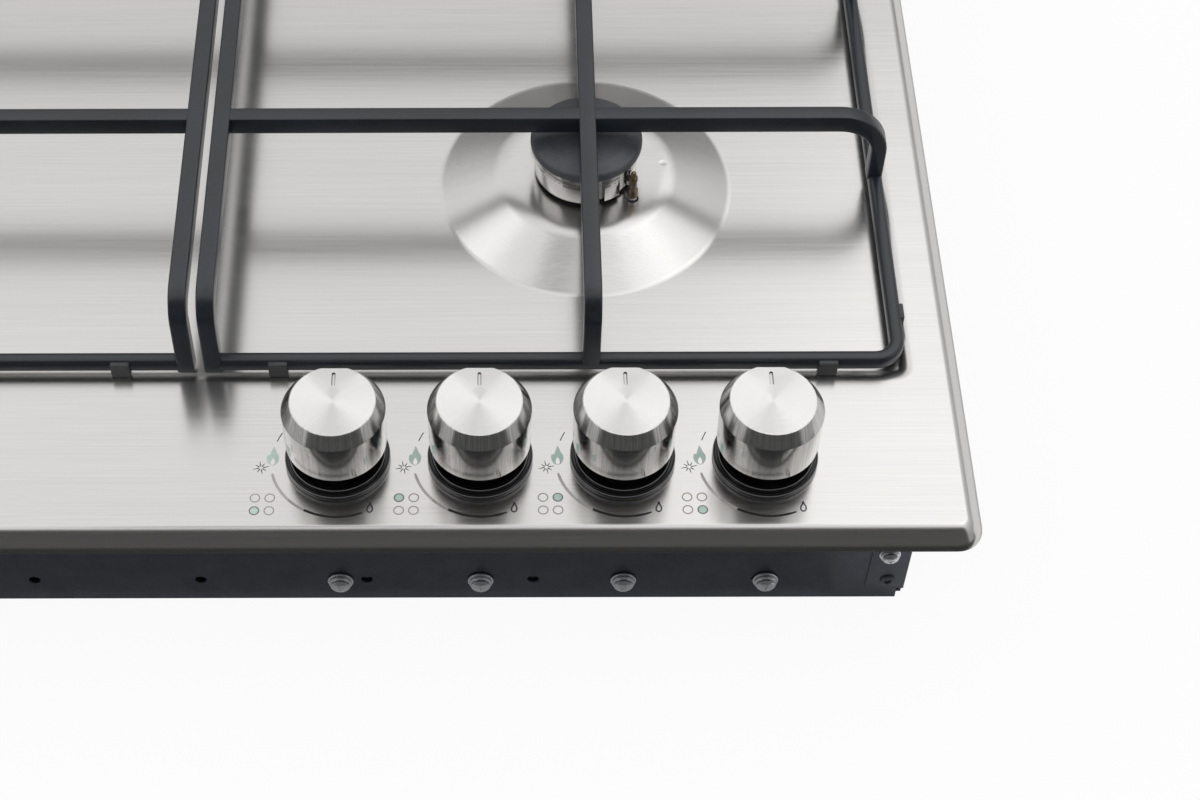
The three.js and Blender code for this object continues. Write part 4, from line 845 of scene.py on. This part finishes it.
# Crown with its port groove, cap, thermocouple and spark electrode of each burner.
def makeBurners():
    crown = {"base": 68.5, "top": 83.0, "radius": 20.5, "wall": 3.0, "skirt": 17.2, "skirtDepth": 10.0,
             "bore": 9.0, "floorDrop": 5.0, "lift": 1.9, "grooveLevel": 78.4, "grooveWidth": 0.6,
             "grooveDepth": 0.7, "portCount": 60, "portReach": 0.25, "portGap": 12}
    notches = ((-41.0, 6.4, 1.7), (139.0, 8.0, 1.7), (-77.0, 5.0, 1.8))  # degrees, width and depth
    cap = {"base": 83.9, "radius": 22.2, "lip": 0.8, "edge": 4.0, "domeTop": 90.0, "spigot": 12.0}
    stem = {"bottom": 43.5, "seat": 60.2, "collarTop": 64.4}  # of thermocouple and electrode
    tip = {"sleeve": 2.1, "rod": 1.5, "tip": 1.1, "top": 83.6}
    angles = [360 * i / 144 for i in range(144)]
    for angle, width, _ in notches:  # more points beside each notch
        half = math.degrees(width / 2 / crown["radius"])
        angles = [a for a in angles if apart(a, angle) > half + 0.6]
        angles += [(angle + sign * (half + step)) % 360 for sign in (-1, 1) for step in (-0.35, 0.35)]
        angles += [(angle + share * half) % 360 for share in (-0.6, 0.0, 0.6)]
    angles.sort()

    def wallRing(inset, height):
        points = []
        for angle in angles:
            radius = crown["radius"] - inset
            for at, width, depth in notches:
                if apart(angle, at) < math.degrees(width / 2 / crown["radius"]):
                    radius = min(radius, crown["radius"] - depth)
            turn = math.radians(angle)
            points.append((radius * math.cos(turn), radius * math.sin(turn), height))
        return points

    def evenRing(radius, height):
        turns = [math.radians(a) for a in angles]
        return [(radius * math.cos(a), radius * math.sin(a), height) for a in turns]

    low, floor, bottom = crown["base"], crown["top"] - crown["floorDrop"], crown["base"] - crown["skirtDepth"]
    lip, top, bore, inner = low + crown["lift"], crown["top"], crown["bore"], crown["radius"] - crown["wall"]
    deep, grooveLow = crown["grooveDepth"], crown["grooveLevel"]
    grooveHigh = grooveLow + crown["grooveWidth"]
    skirt = [evenRing(*at) for at in ((bore, bottom), (crown["skirt"], bottom), (crown["skirt"], low),
                                      (crown["skirt"] + 0.6, lip))]
    skirt.append(wallRing(0.5, lip))
    side = [wallRing(*at) for at in (
        (0.5, lip), (0.15, lip + 0.1), (0.0, lip + 0.4), (0.0, grooveLow - 0.15), (0.15, grooveLow),
        (deep, grooveLow), (deep, grooveHigh), (0.15, grooveHigh), (0.0, grooveHigh + 0.15),
        (0.0, top - 0.25), (0.15, top))]
    side += [evenRing(*at) for at in ((inner, top), (inner, floor), (bore, floor), (bore, bottom))]
    step = 2 * math.pi / crown["portCount"]
    inside, outside = crown["radius"] - deep - 0.2, crown["radius"] - crown["portReach"]
    outline = [(outside * math.cos(a), outside * math.sin(a)) for a in np.linspace(-step / 3, step / 3, 4)]
    outline += [(inside * math.cos(a), inside * math.sin(a)) for a in np.linspace(step / 3, -step / 3, 4)]
    tooth = slab(outline, crown["grooveWidth"] + 0.04, 0.05, "aluminium", 1)
    tooth = moved(tooth, (0.0, 0.0, grooveLow - 0.02))
    clear = [((0.0, 0.0, 0.0), (0.0, 0.0, i * step)) for i in range(crown["portCount"])
             if all(apart(math.degrees(i * step), at) > crown["portGap"] for at, _, _ in notches)]
    # The skirt carries the near-black painted shade of the gap under the crown.
    crownParts = [skin(skirt, "shadedSkirtAluminium"), skin(side, "aluminium"),
                  copiesOf("port_bridges", tooth, clear, "aluminium")]

    capBase, capRadius, dome = cap["base"], cap["radius"], cap["domeTop"]
    capLine = rounded([
        (0, capBase - 1.2), (cap["spigot"], capBase - 1.2, 0.3), (cap["spigot"], capBase),
        (capRadius - 1.2, capBase, 0.2), (capRadius, capBase + cap["lip"], 0.5),
        (capRadius, capBase + cap["edge"], 2.2), (16.0, dome - 0.9, 6.0), (6.0, dome - 0.1, 8.0),
        (0, dome)], 7)

    def stemLine(radius, collar, edge):
        seat, collarTop = stem["seat"], stem["collarTop"]
        return [(0, stem["bottom"]), (radius, stem["bottom"], edge), (radius, seat), (collar, seat, edge),
                (collar, collarTop, edge), (radius, collarTop + 0.2)]

    probeLine = rounded(stemLine(2.2, 3.7, 0.3) + [(2.0, 65.0), (2.0, 69.8)], 3)
    tipLine = rounded([
        (2.0, 69.8), (tip["sleeve"], 70.2, 0.3), (tip["sleeve"], 73.6, 0.5), (tip["rod"], 74.2, 0.3),
        (tip["rod"], 78.8, 0.2), (tip["rod"] + 0.3, 79.1, 0.2), (tip["rod"] + 0.2, 80.6, 0.3),
        (tip["tip"], 81.4, 0.4), (tip["tip"], 83.0, 0.8), (0, tip["top"])], 4)
    glazeLine = rounded(stemLine(3.2, 4.8, 0.4) + [(3.2, 75.5, 0.8), (1.0, 76.5)], 4)
    pinLine = rounded([(1.0, 76.5), (1.0, 82.6, 0.4), (0.0, 83.7)], 3)
    for name in burnerNames:
        x, y = burnerCentres[name]
        makePiece("burner_crown_ported_" + name, [moved(part, (x, y, 0.0)) for part in crownParts],
                  "crown_" + name, ["burner_crown_" + name], sharp=32.0)
        makePiece("burner_cap_enamelled_" + name, [lathe(capLine, "capEnamel", (x, y), 128)], "cap_" + name,
                  ["burner_cap_" + name], sharp=50.0)
        at = fromBurner(name, probeReach, probeAngle)
        parts = [lathe(probeLine, "zinc", at, 32), lathe(tipLine, "heatedSteel", at, 32)]
        makePiece("thermocouple_probe_" + name, parts, "hob", ["thermocouple_" + name])
        at = fromBurner(name, probeReach, probeAngle + 180)
        parts = [lathe(glazeLine, "ceramic", at, 32), lathe(pinLine, "zinc", at, 32)]
        makePiece("spark_electrode_glazed_" + name, parts, "hob",
                  ["spark_electrode_" + name])


makeBurners()
print("burners made")


# Ink along a line that may change in width, and a closed patch of ink.
def ribbon(points, widths, base, material):
    line = np.array(points, float)
    ahead = np.gradient(line, axis=0)
    ahead /= np.linalg.norm(ahead, axis=1)[:, None]
    side = np.stack([-ahead[:, 1], ahead[:, 0]], axis=1) * (np.array(widths)[:, None] / 2)
    outline = [tuple(p) for p in line + side] + [tuple(p) for p in (line - side)[::-1]]
    return inkLayer(outline, base, material)


def inkLayer(outline, base, material):
    thick = 0.03
    if signedArea(outline) < 0:
        outline = outline[::-1]
    count = len(outline)
    vertices = [(x, y, z) for z in (base, base + thick) for x, y in outline]
    faces = [tuple(range(count))[::-1], tuple(range(count, 2 * count))]
    faces += [(i, (i + 1) % count, (i + 1) % count + count, i + count) for i in range(count)]
    return {"vertices": vertices, "faces": faces, "material": material}


# A smooth closed curve through the corners, moved to its place beside the knob.
def smoothOutline(corners, offset):
    steps = 5
    ring = np.array(corners, float)
    count = len(ring)
    points = []
    for i in range(count):
        a, b, c, d = (ring[(i + k - 1) % count] for k in range(4))
        for step in range(steps):
            t = step / steps
            x, y = 0.5 * (2 * b + (c - a) * t + (2 * a - 5 * b + 4 * c - d) * t ** 2
                          + (3 * b - a - 3 * c + d) * t ** 3)
            points.append((x + offset[0], y + offset[1]))
    return points


# Printed round each knob: a spark, a large and a small flame, the arc between them, and four
# rings of which the filled one shows the burner.
def makeMarks():
    mark = {"level": 60.505, "flameAt": (-24.1, 0.9), "coreAt": (-24.0, 0.1), "sparkAt": (-28.2, -4.2),
            "smallAt": (12.4, -22.2), "smallLine": 0.5, "offReach": 24.2, "offLine": 0.35,
            "columns": (-29.6, -24.2), "rows": (-23.3, -17.7), "dot": 1.75, "dotLine": 0.42}
    filled = {"front_left": (0, 0), "rear_left": (0, 1), "rear_right": (1, 1), "front_right": (1, 0)}
    drop = [(0.1, 4.6), (0.9, 3.1), (1.2, 2.0), (2.1, 0.4), (2.25, -1.4), (1.5, -3.1), (0.2, -4.1),
            (-1.3, -3.3), (-2.2, -1.6), (-2.2, 0.0), (-1.7, 0.9), (-1.2, 0.6), (-0.8, 1.9), (-0.3, 3.4)]
    core = [(0.0, 0.1), (0.75, -1.4), (0.7, -2.5), (0.05, -3.2), (-0.7, -2.5), (-0.75, -1.5)]
    small = [(0.1, 2.4), (0.5, 1.2), (1.0, 0.1), (0.9, -1.2), (0.0, -1.9), (-0.9, -1.2), (-0.75, 0.2),
             (-0.2, 1.2)]
    base = mark["level"]
    shared = [inkLayer(smoothOutline(drop, mark["flameAt"]), base, "tealInk"),
              inkLayer(smoothOutline(core, mark["coreAt"]), base + 0.03, "stainless")]
    sparkX, sparkY = mark["sparkAt"]
    for turn in range(8):
        angle = math.radians(turn * 45 + 12)
        reach = 3.0 if turn % 2 == 0 else 2.3
        line = [(sparkX + r * math.cos(angle), sparkY + r * math.sin(angle)) for r in (0.7, 1.4, reach)]
        shared.append(ribbon(line, [0.42, 0.34, 0.16], base, "darkInk"))
    turns = np.radians(np.linspace(196, 292, 60))
    reach = np.interp(np.degrees(turns), [180, 270], [24.6, 26.2])
    arc = [(r * math.cos(a), r * math.sin(a)) for a, r in zip(turns, reach)]
    widths = np.interp(np.degrees(turns), [196, 200, 240, 285, 292], [0.7, 1.1, 1.0, 0.95, 0.55])
    # The arc is one print: its pale, grey and dark runs are painted light and painted shade, lighter at its
    # start and dark towards the bottom where the knob shades it.
    for ink, begin, end in (("litArcInk", 0, 19), ("greyInk", 19, 29), ("darkInk", 29, 59)):
        shared.append(ribbon(arc[begin:end + 1], widths[begin:end + 1], base, ink))
    turns = np.radians(np.linspace(161, 151, 12))
    line = [(mark["offReach"] * math.cos(a), mark["offReach"] * math.sin(a)) for a in turns]
    shared.append(ribbon(line, [mark["offLine"]] * len(line), base, "darkInk"))
    edge = smoothOutline(small, mark["smallAt"])
    edge.append(edge[0])
    shared.append(ribbon(edge, [mark["smallLine"]] * len(edge), base, "darkInk"))
    turns = np.radians(np.linspace(0.0, 360.0, 33))
    ring = [(mark["dot"] * math.cos(a), mark["dot"] * math.sin(a)) for a in turns]
    parts = []
    for name in burnerNames:
        x, y = knobCentres[name]
        parts += [moved(part, (x, y, 0.0)) for part in shared]
        for i, column in enumerate(mark["columns"]):
            for j, row in enumerate(mark["rows"]):
                at = (x + column, y + row)
                line = [(at[0] + alongX, at[1] + alongY) for alongX, alongY in ring]
                parts.append(ribbon(line, [mark["dotLine"]] * len(line), base, "greyInk"))
                if filled[name] == (i, j):
                    parts.append(inkLayer(circle(*at, mark["dot"], 32), base, "tealInk"))
    makePiece("printed_marks", parts, "hob", recalculate=False)


makeMarks()
print("marks printed")


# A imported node's own shape with its sheet edges rounded. The weighted normals keep the
# large walls flat in the light.
def copyOfNode(node, material, edge):
    work = bmesh.new()
    work.from_mesh(frame["nodes"][node].data)
    bmesh.ops.remove_doubles(work, verts=work.verts, dist=1e-6)
    bmesh.ops.dissolve_limit(work, angle_limit=math.radians(1), verts=work.verts, edges=work.edges)
    mesh = bpy.data.meshes.new(node + "_formed")
    work.to_mesh(mesh)
    work.free()
    mesh.shade_smooth()
    piece = addObject(node + "_formed", mesh)
    bevel = piece.modifiers.new("edge", "BEVEL")
    bevel.width = edge * mm
    bevel.segments = 3
    bevel.limit_method = "ANGLE"
    bevel.angle_limit = math.radians(40)
    flat = piece.modifiers.new("flat", "WEIGHTED_NORMAL")
    flat.weight = 100
    flat.keep_sharp = True
    graph = bpy.context.evaluated_depsgraph_get()
    shaped = bpy.data.meshes.new_from_object(piece.evaluated_get(graph), depsgraph=graph)
    piece.modifiers.clear()
    piece.data = shaped
    shaped.materials.clear()
    shaped.materials.append(materials[material])
    return piece


# Base pan, the folded flaps at its front corners, and the screws in its front wall.
def makePan():
    pan = copyOfNode("base_pan", "panSheet", 0.35)
    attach(pan, "hob")
    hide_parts("base_pan")
    fold = {"seam": 252.9, "edge": 267.6, "bottom": 9.2, "top": 57.2, "proud": 0.5, "front": -241.0,
            "collarX": 261.0, "collarLevel": 12.8}
    head = {"washer": 4.9, "washerThick": 0.9, "spring": 4.3, "springThick": 1.0, "radius": 3.6,
            "height": 2.4, "crossReach": 1.7, "crossHalf": 0.34, "crossDepth": 0.6, "crossSlope": 0.2,
            "shank": 2.0, "shankLength": 6.0, "level": 13.1, "cornerX": 259.6, "cornerLevel": 31.0,
            "cornerShare": 0.82}
    turnAlong = {53.2: 0.5, 106.4: 0.1, 160.6: 0.85, 214.6: 1.2}  # place along the wall, and turn
    reach, half, front = head["crossReach"], head["crossHalf"], fold["front"]

    for sign, side in ((1, "right"), (-1, "left")):
        outline = [(fold["seam"], fold["bottom"]), (fold["edge"], fold["bottom"] - 1.4),
                   (fold["edge"], fold["top"]), (fold["seam"] + 0.6, fold["top"])]
        flap = slab([(x * sign, z) for x, z in outline], fold["proud"], 0.15, "panSheet", 2)
        at = (fold["collarX"] * sign, fold["collarLevel"])
        rim = [(1.35, 0.0), (3.2, 0.0, 0.2), (2.5, 0.7, 0.3), (1.9, 0.9, 0.2), (1.35, 0.5)]
        collar = lathe(rounded(rim, 3), "panSheet", at, 40, True)
        # A black disc fills each collar's hole: painted shade for the dark inside the hole.
        hole = lathe([(0, -0.1), (1.5, -0.1), (1.5, 0.2), (0, 0.2)], "blackPlastic", at, 32)
        parts = [flap] + [moved(part, (0, 0, fold["proud"])) for part in (collar, hole)]
        parts = [moved(part, place=lambda p: (p[0], front - p[2], p[1])) for part in parts]
        makePiece("pan_corner_fold_" + side, parts, "hob")

    def heightAt(x, y):
        share = np.hypot(x, y) / (head["radius"] * 1.12)
        dome = head["height"] * np.sqrt(np.clip(1 - share ** 2, 0.01, 1))
        across = np.maximum(np.abs(x) - reach, np.abs(y) - half)
        along = np.maximum(np.abs(y) - reach, np.abs(x) - half)
        return dome - head["crossDepth"] * np.clip(-np.minimum(across, along) / head["crossSlope"], 0, 1)

    def cross(inset):
        a, b = reach - inset, half - inset
        return [(b, b), (b, a), (-b, a), (-b, b), (-a, b), (-a, -b), (-b, -b), (-b, -a), (b, -a), (b, -b),
                (a, -b), (a, b)]

    loops = [circle(0, 0, radius, 48) for radius in (head["radius"], 3.3, 3.0, 2.6)]
    loops += [cross(0.0), cross(head["crossSlope"])]
    seat = 0.3 + head["washerThick"]
    lift = seat + 0.1 + head["springThick"]
    dome = moved(drapedPart(loops, heightAt, "zinc"), (0.0, 0.0, lift))
    domeEdge = float(heightAt(head["radius"], 0.0)) + lift
    spring = head["spring"]
    below = lathe(rounded([
        (0, -head["shankLength"]), (head["shank"], -head["shankLength"]), (head["shank"], 0.3),
        (head["washer"], 0.3, 0.3), (head["washer"], seat, 0.3), (spring - 0.6, seat),
        (spring - 0.6, seat + 0.12), (spring, seat + 0.12, 0.3), (spring, lift, 0.3), (head["radius"], lift),
        (head["radius"], domeEdge)], 3), "zinc", (0, 0), 48)
    first = len(below["vertices"])
    screw = {"vertices": below["vertices"] + dome["vertices"], "material": "zinc",
             "faces": below["faces"] + [tuple(i + first for i in face) for face in dome["faces"]]}
    forward = Matrix.Rotation(math.pi / 2, 4, "X")
    places = [((x, front, head["level"]), tuple((forward @ Matrix.Rotation(turn, 4, "Z")).to_euler()))
              for x, turn in turnAlong.items()]
    screws = copiesOf("pan_screws", screw, places, "zinc")
    makePiece("pan_screws_with_washers", [screws], "hob",
              ["pan_screw_%d" % i for i in range(1, 5)])
    smaller = moved(screw, place=lambda p: tuple(c * head["cornerShare"] for c in p))
    ends = [((sign * head["cornerX"], front - fold["proud"], head["cornerLevel"]), tuple(forward.to_euler()))
            for sign in (-1, 1)]
    makePiece("pan_corner_screws", [copiesOf("corner_screws", smaller, ends, "zinc")], "hob")


makePan()
print("pan made")


# Each pipe leaves its valve, runs along a lane of its own and turns to its burner's cup.
def makePipes():
    pipe = {"radius": 4.0, "bend": 12.0, "outlet": 35.4, "socket": 41.4, "outletY": -199.4,
            "firstLane": -178.4, "lanePitch": 16, "cupReach": 24.4}
    high, low, cup = pipe["outlet"], pipe["socket"], pipe["cupReach"]
    for index, name in enumerate(burnerNames):
        startX, _ = knobCentres[name]
        x, y = burnerCentres[name]
        lane = pipe["firstLane"] + pipe["lanePitch"] * index
        routes = {
            "front_left": [(startX, lane, high), (x, lane, low), (x, y - cup, low)],
            "rear_left": [(startX, lane, high), (16.0, lane, low), (16.0, y, low), (x + cup, y, low)],
            "rear_right": [(startX, lane, high), (32.0, lane, low), (32.0, y, low), (x - cup, y, low)],
            "front_right": [(startX, y, low), (x + cup, y, low)]}
        holder = lineObject("pipe_path", [[(startX, pipe["outletY"], high), *routes[name]]])
        mesh = runTree("gas_pipe_bent_" + name, holder, *pipeNodes, {
            "Radius": pipe["radius"] * mm, "Bend": pipe["bend"] * mm, "Material": materials["castAluminium"]})
        makePiece("gas_pipe_bent_" + name, [partOf(mesh, "castAluminium")], "hob",
                  ["gas_pipe_" + name])


makePipes()

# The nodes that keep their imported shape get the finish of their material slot.
keptLooks = {"galvanised": "panSheet", "zinc_screw": "zinc", "aluminium": "castAluminium", "brass": "brass",
             "black_plastic": "blackPlastic", "grey_foam": "foam", "stainless": "stainless",
             "turned_steel": "turnedBody", "black_enamel": "barEnamel", "cap_enamel": "capEnamel",
             "white_ceramic": "ceramic"}
for row in frame["record"]["subparts"]:
    node = frame["nodes"].get(row["node"])
    if node is not None and not node.hide_render:
        node.data.materials.clear()
        node.data.materials.append(materials[keptLooks[row["material_slot"]]])
print("packed pieces finished")


def combine(tree, operation, first, second):
    return addNode(tree, "ShaderNodeMath", links={0: first, 1: second}, operation=operation).outputs[0]


def mixShaders(tree, share, first, second):
    return addNode(tree, "ShaderNodeMixShader", links={0: share, 1: first, 2: second}).outputs[0]


# White surroundings: full white for the camera, mirrors and glass, and a little less for lighting.
def makeWorld():
    light = {"fill": 0.85}
    world = bpy.data.worlds.new("studio")
    scene.world = world
    tree = clearedTree(world)
    path = addNode(tree, "ShaderNodeLightPath").outputs
    seen = combine(tree, "MAXIMUM", path["Is Camera Ray"], path["Is Glossy Ray"])
    seen = combine(tree, "MAXIMUM", seen, path["Is Transmission Ray"])
    strength = addNode(tree, "ShaderNodeMapRange", {"To Min": light["fill"], "To Max": 1.0}, {"Value": seen})
    shade = addNode(tree, "ShaderNodeBackground", {"Color": (1, 1, 1, 1)}, {"Strength": strength.outputs[0]})
    addNode(tree, "ShaderNodeOutputWorld", links={"Surface": shade.outputs[0]})


def plainSheet(name, corners, materialName):
    mesh = bpy.data.meshes.new(name)
    mesh.from_pydata(corners, [], [(0, 1, 2, 3)])
    material = bpy.data.materials.new(materialName)
    mesh.materials.append(material)
    return addObject(name, mesh), clearedTree(material)


def lying(x0, y0, x1, y1, level):
    return [(x0, y0, level), (x1, y0, level), (x1, y1, level), (x0, y1, level)]


def upright(x0, y0, x1, y1, low, high):
    return [(x0, y0, low), (x1, y1, low), (x1, y1, high), (x0, y0, high)]


# The floor glows for the camera and keeps the shadow. It lies just under the pan, so that the two
# don't share a plane, and it is clear from below, where the pan's bottom shows through it.
def makeFloor():
    look = {"half": 6.0, "level": -0.0004, "colour": "#f4f4f4", "glowShare": 0.93}
    half = look["half"]
    floor, tree = plainSheet("floor", lying(-half, -half, half, half, look["level"]), "floor_pale")
    matt = addNode(tree, "ShaderNodeBsdfDiffuse", {"Color": linear(look["colour"])})
    glow = addNode(tree, "ShaderNodeEmission", {"Color": (1, 1, 1, 1), "Strength": 1.0})
    camera = addNode(tree, "ShaderNodeLightPath").outputs["Is Camera Ray"]
    share = addNode(tree, "ShaderNodeMath", {1: look["glowShare"]}, {0: camera}, operation="MULTIPLY")
    pale = mixShaders(tree, share.outputs[0], matt.outputs[0], glow.outputs[0])
    below = combine(tree, "MULTIPLY", camera, addNode(tree, "ShaderNodeNewGeometry").outputs["Backfacing"])
    shown = mixShaders(tree, below, pale, addNode(tree, "ShaderNodeBsdfTransparent").outputs[0])
    addNode(tree, "ShaderNodeOutputMaterial", links={"Surface": shown})


# A panel that only shiny surfaces see, as a studio flag or card. Its edges fade out over the given
# shares of its width and height, and its shade runs from bottom to top.
def makePanel(name, corners, lowShade, highShade, fade=0.0, topFade=0.0):
    panel, tree = plainSheet(name, corners, name)
    layer = panel.data.uv_layers.new(name="panelUv")
    layer.data.foreach_set("uv", [0, 0, 1, 0, 1, 1, 0, 1])
    where = addNode(tree, "ShaderNodeUVMap", uv_map="panelUv")
    across, upward, _ = addNode(tree, "ShaderNodeSeparateXYZ", links={0: where.outputs[0]}).outputs
    level = addNode(tree, "ShaderNodeMapRange", {"To Min": lowShade, "To Max": highShade}, {"Value": upward})
    glow = addNode(tree, "ShaderNodeEmission", {"Color": (1, 1, 1, 1)}, {"Strength": level.outputs[0]})
    shown = glow.outputs[0]
    if fade or topFade:
        nearer = addNode(tree, "ShaderNodeMath", {1: 1.0, 2: 0.5}, {0: across}, operation="PINGPONG")
        sides = addNode(tree, "ShaderNodeMapRange", {"From Max": max(fade, 0.001)},
                        {"Value": nearer.outputs[0]}, interpolation_type="SMOOTHSTEP")
        top = addNode(tree, "ShaderNodeMapRange", {"From Min": 1.0, "From Max": 1.0 - max(topFade, 0.001)},
                      {"Value": upward}, interpolation_type="SMOOTHSTEP")
        share = combine(tree, "MULTIPLY", sides.outputs[0], top.outputs[0])
        shown = mixShaders(tree, share, addNode(tree, "ShaderNodeBsdfTransparent").outputs[0], shown)
    addNode(tree, "ShaderNodeOutputMaterial", links={"Surface": shown})
    panel.visible_camera = False
    panel.visible_diffuse = False
    panel.visible_shadow = False
    panel.visible_transmission = False


def makeLamp(name, place, target, size, watts):
    data = bpy.data.lights.new(name, "AREA")
    data.shape = "RECTANGLE"
    data.size, data.size_y = size
    data.energy = watts
    aim = (Vector(target) - Vector(place)).to_track_quat("-Z", "Y")
    addObject(name, data).matrix_world = Matrix.Translation(place) @ aim.to_matrix().to_4x4()


makeWorld()
makeFloor()
# Corners in metres, shade at the foot and at the top, and the fading shares of the sides and the top.
panels = {
    "flag_front": (upright(-1.05, -1.0, 1.35, -1.0, 0.0, 1.55), 0.11, 0.02, 0.05, 0.08),
    "flag_high": (upright(-1.05, -1.0, 1.35, -1.0, 1.45, 2.8), 0.42, 0.9, 0.12, 0.1),
    "card_near": (lying(-0.7, -0.243, 0.242, -0.288, 0.002), 0.22, 0.22),
    "card_far": (lying(-0.7, -0.288, 1.1, -1.0, 0.002), 0.035, 0.035),
    "flag_top": (lying(-0.55, 0.3, 0.08, -0.7, 2.5), 0.5, 0.5, 0.3, 0.3),
    "wall_rear": (upright(-1.9, 1.6, 1.9, 1.6, 0.0, 2.2), 0.12, 1.1),
    "wall_left": (upright(-1.9, 1.6, -1.9, -1.6, 0.0, 2.4), 0.4, 0.95),
    "wall_right": (upright(1.9, 1.6, 1.9, -1.6, 0.0, 2.4), 0.4, 0.95)}
for panelName, row in panels.items():
    makePanel(panelName, *row)
# Place, target, size in metres, and watts.
lamps = {
    "lamp_right": ((0.75, 0.55, 1.4), (0.2, -0.1, 0.0), (1.0, 0.8), 0.85),
    "lamp_top": ((0.95, 0.2, 2.0), (0.15, -0.08, 0.0), (0.9, 0.7), 0.6),
    "lamp_left": ((-1.2, 0.6, 2.3), (0.1, -0.1, 0.0), (0.8, 0.6), 0.7)}
for lampName, row in lamps.items():
    makeLamp(lampName, *row)
print("studio lit")
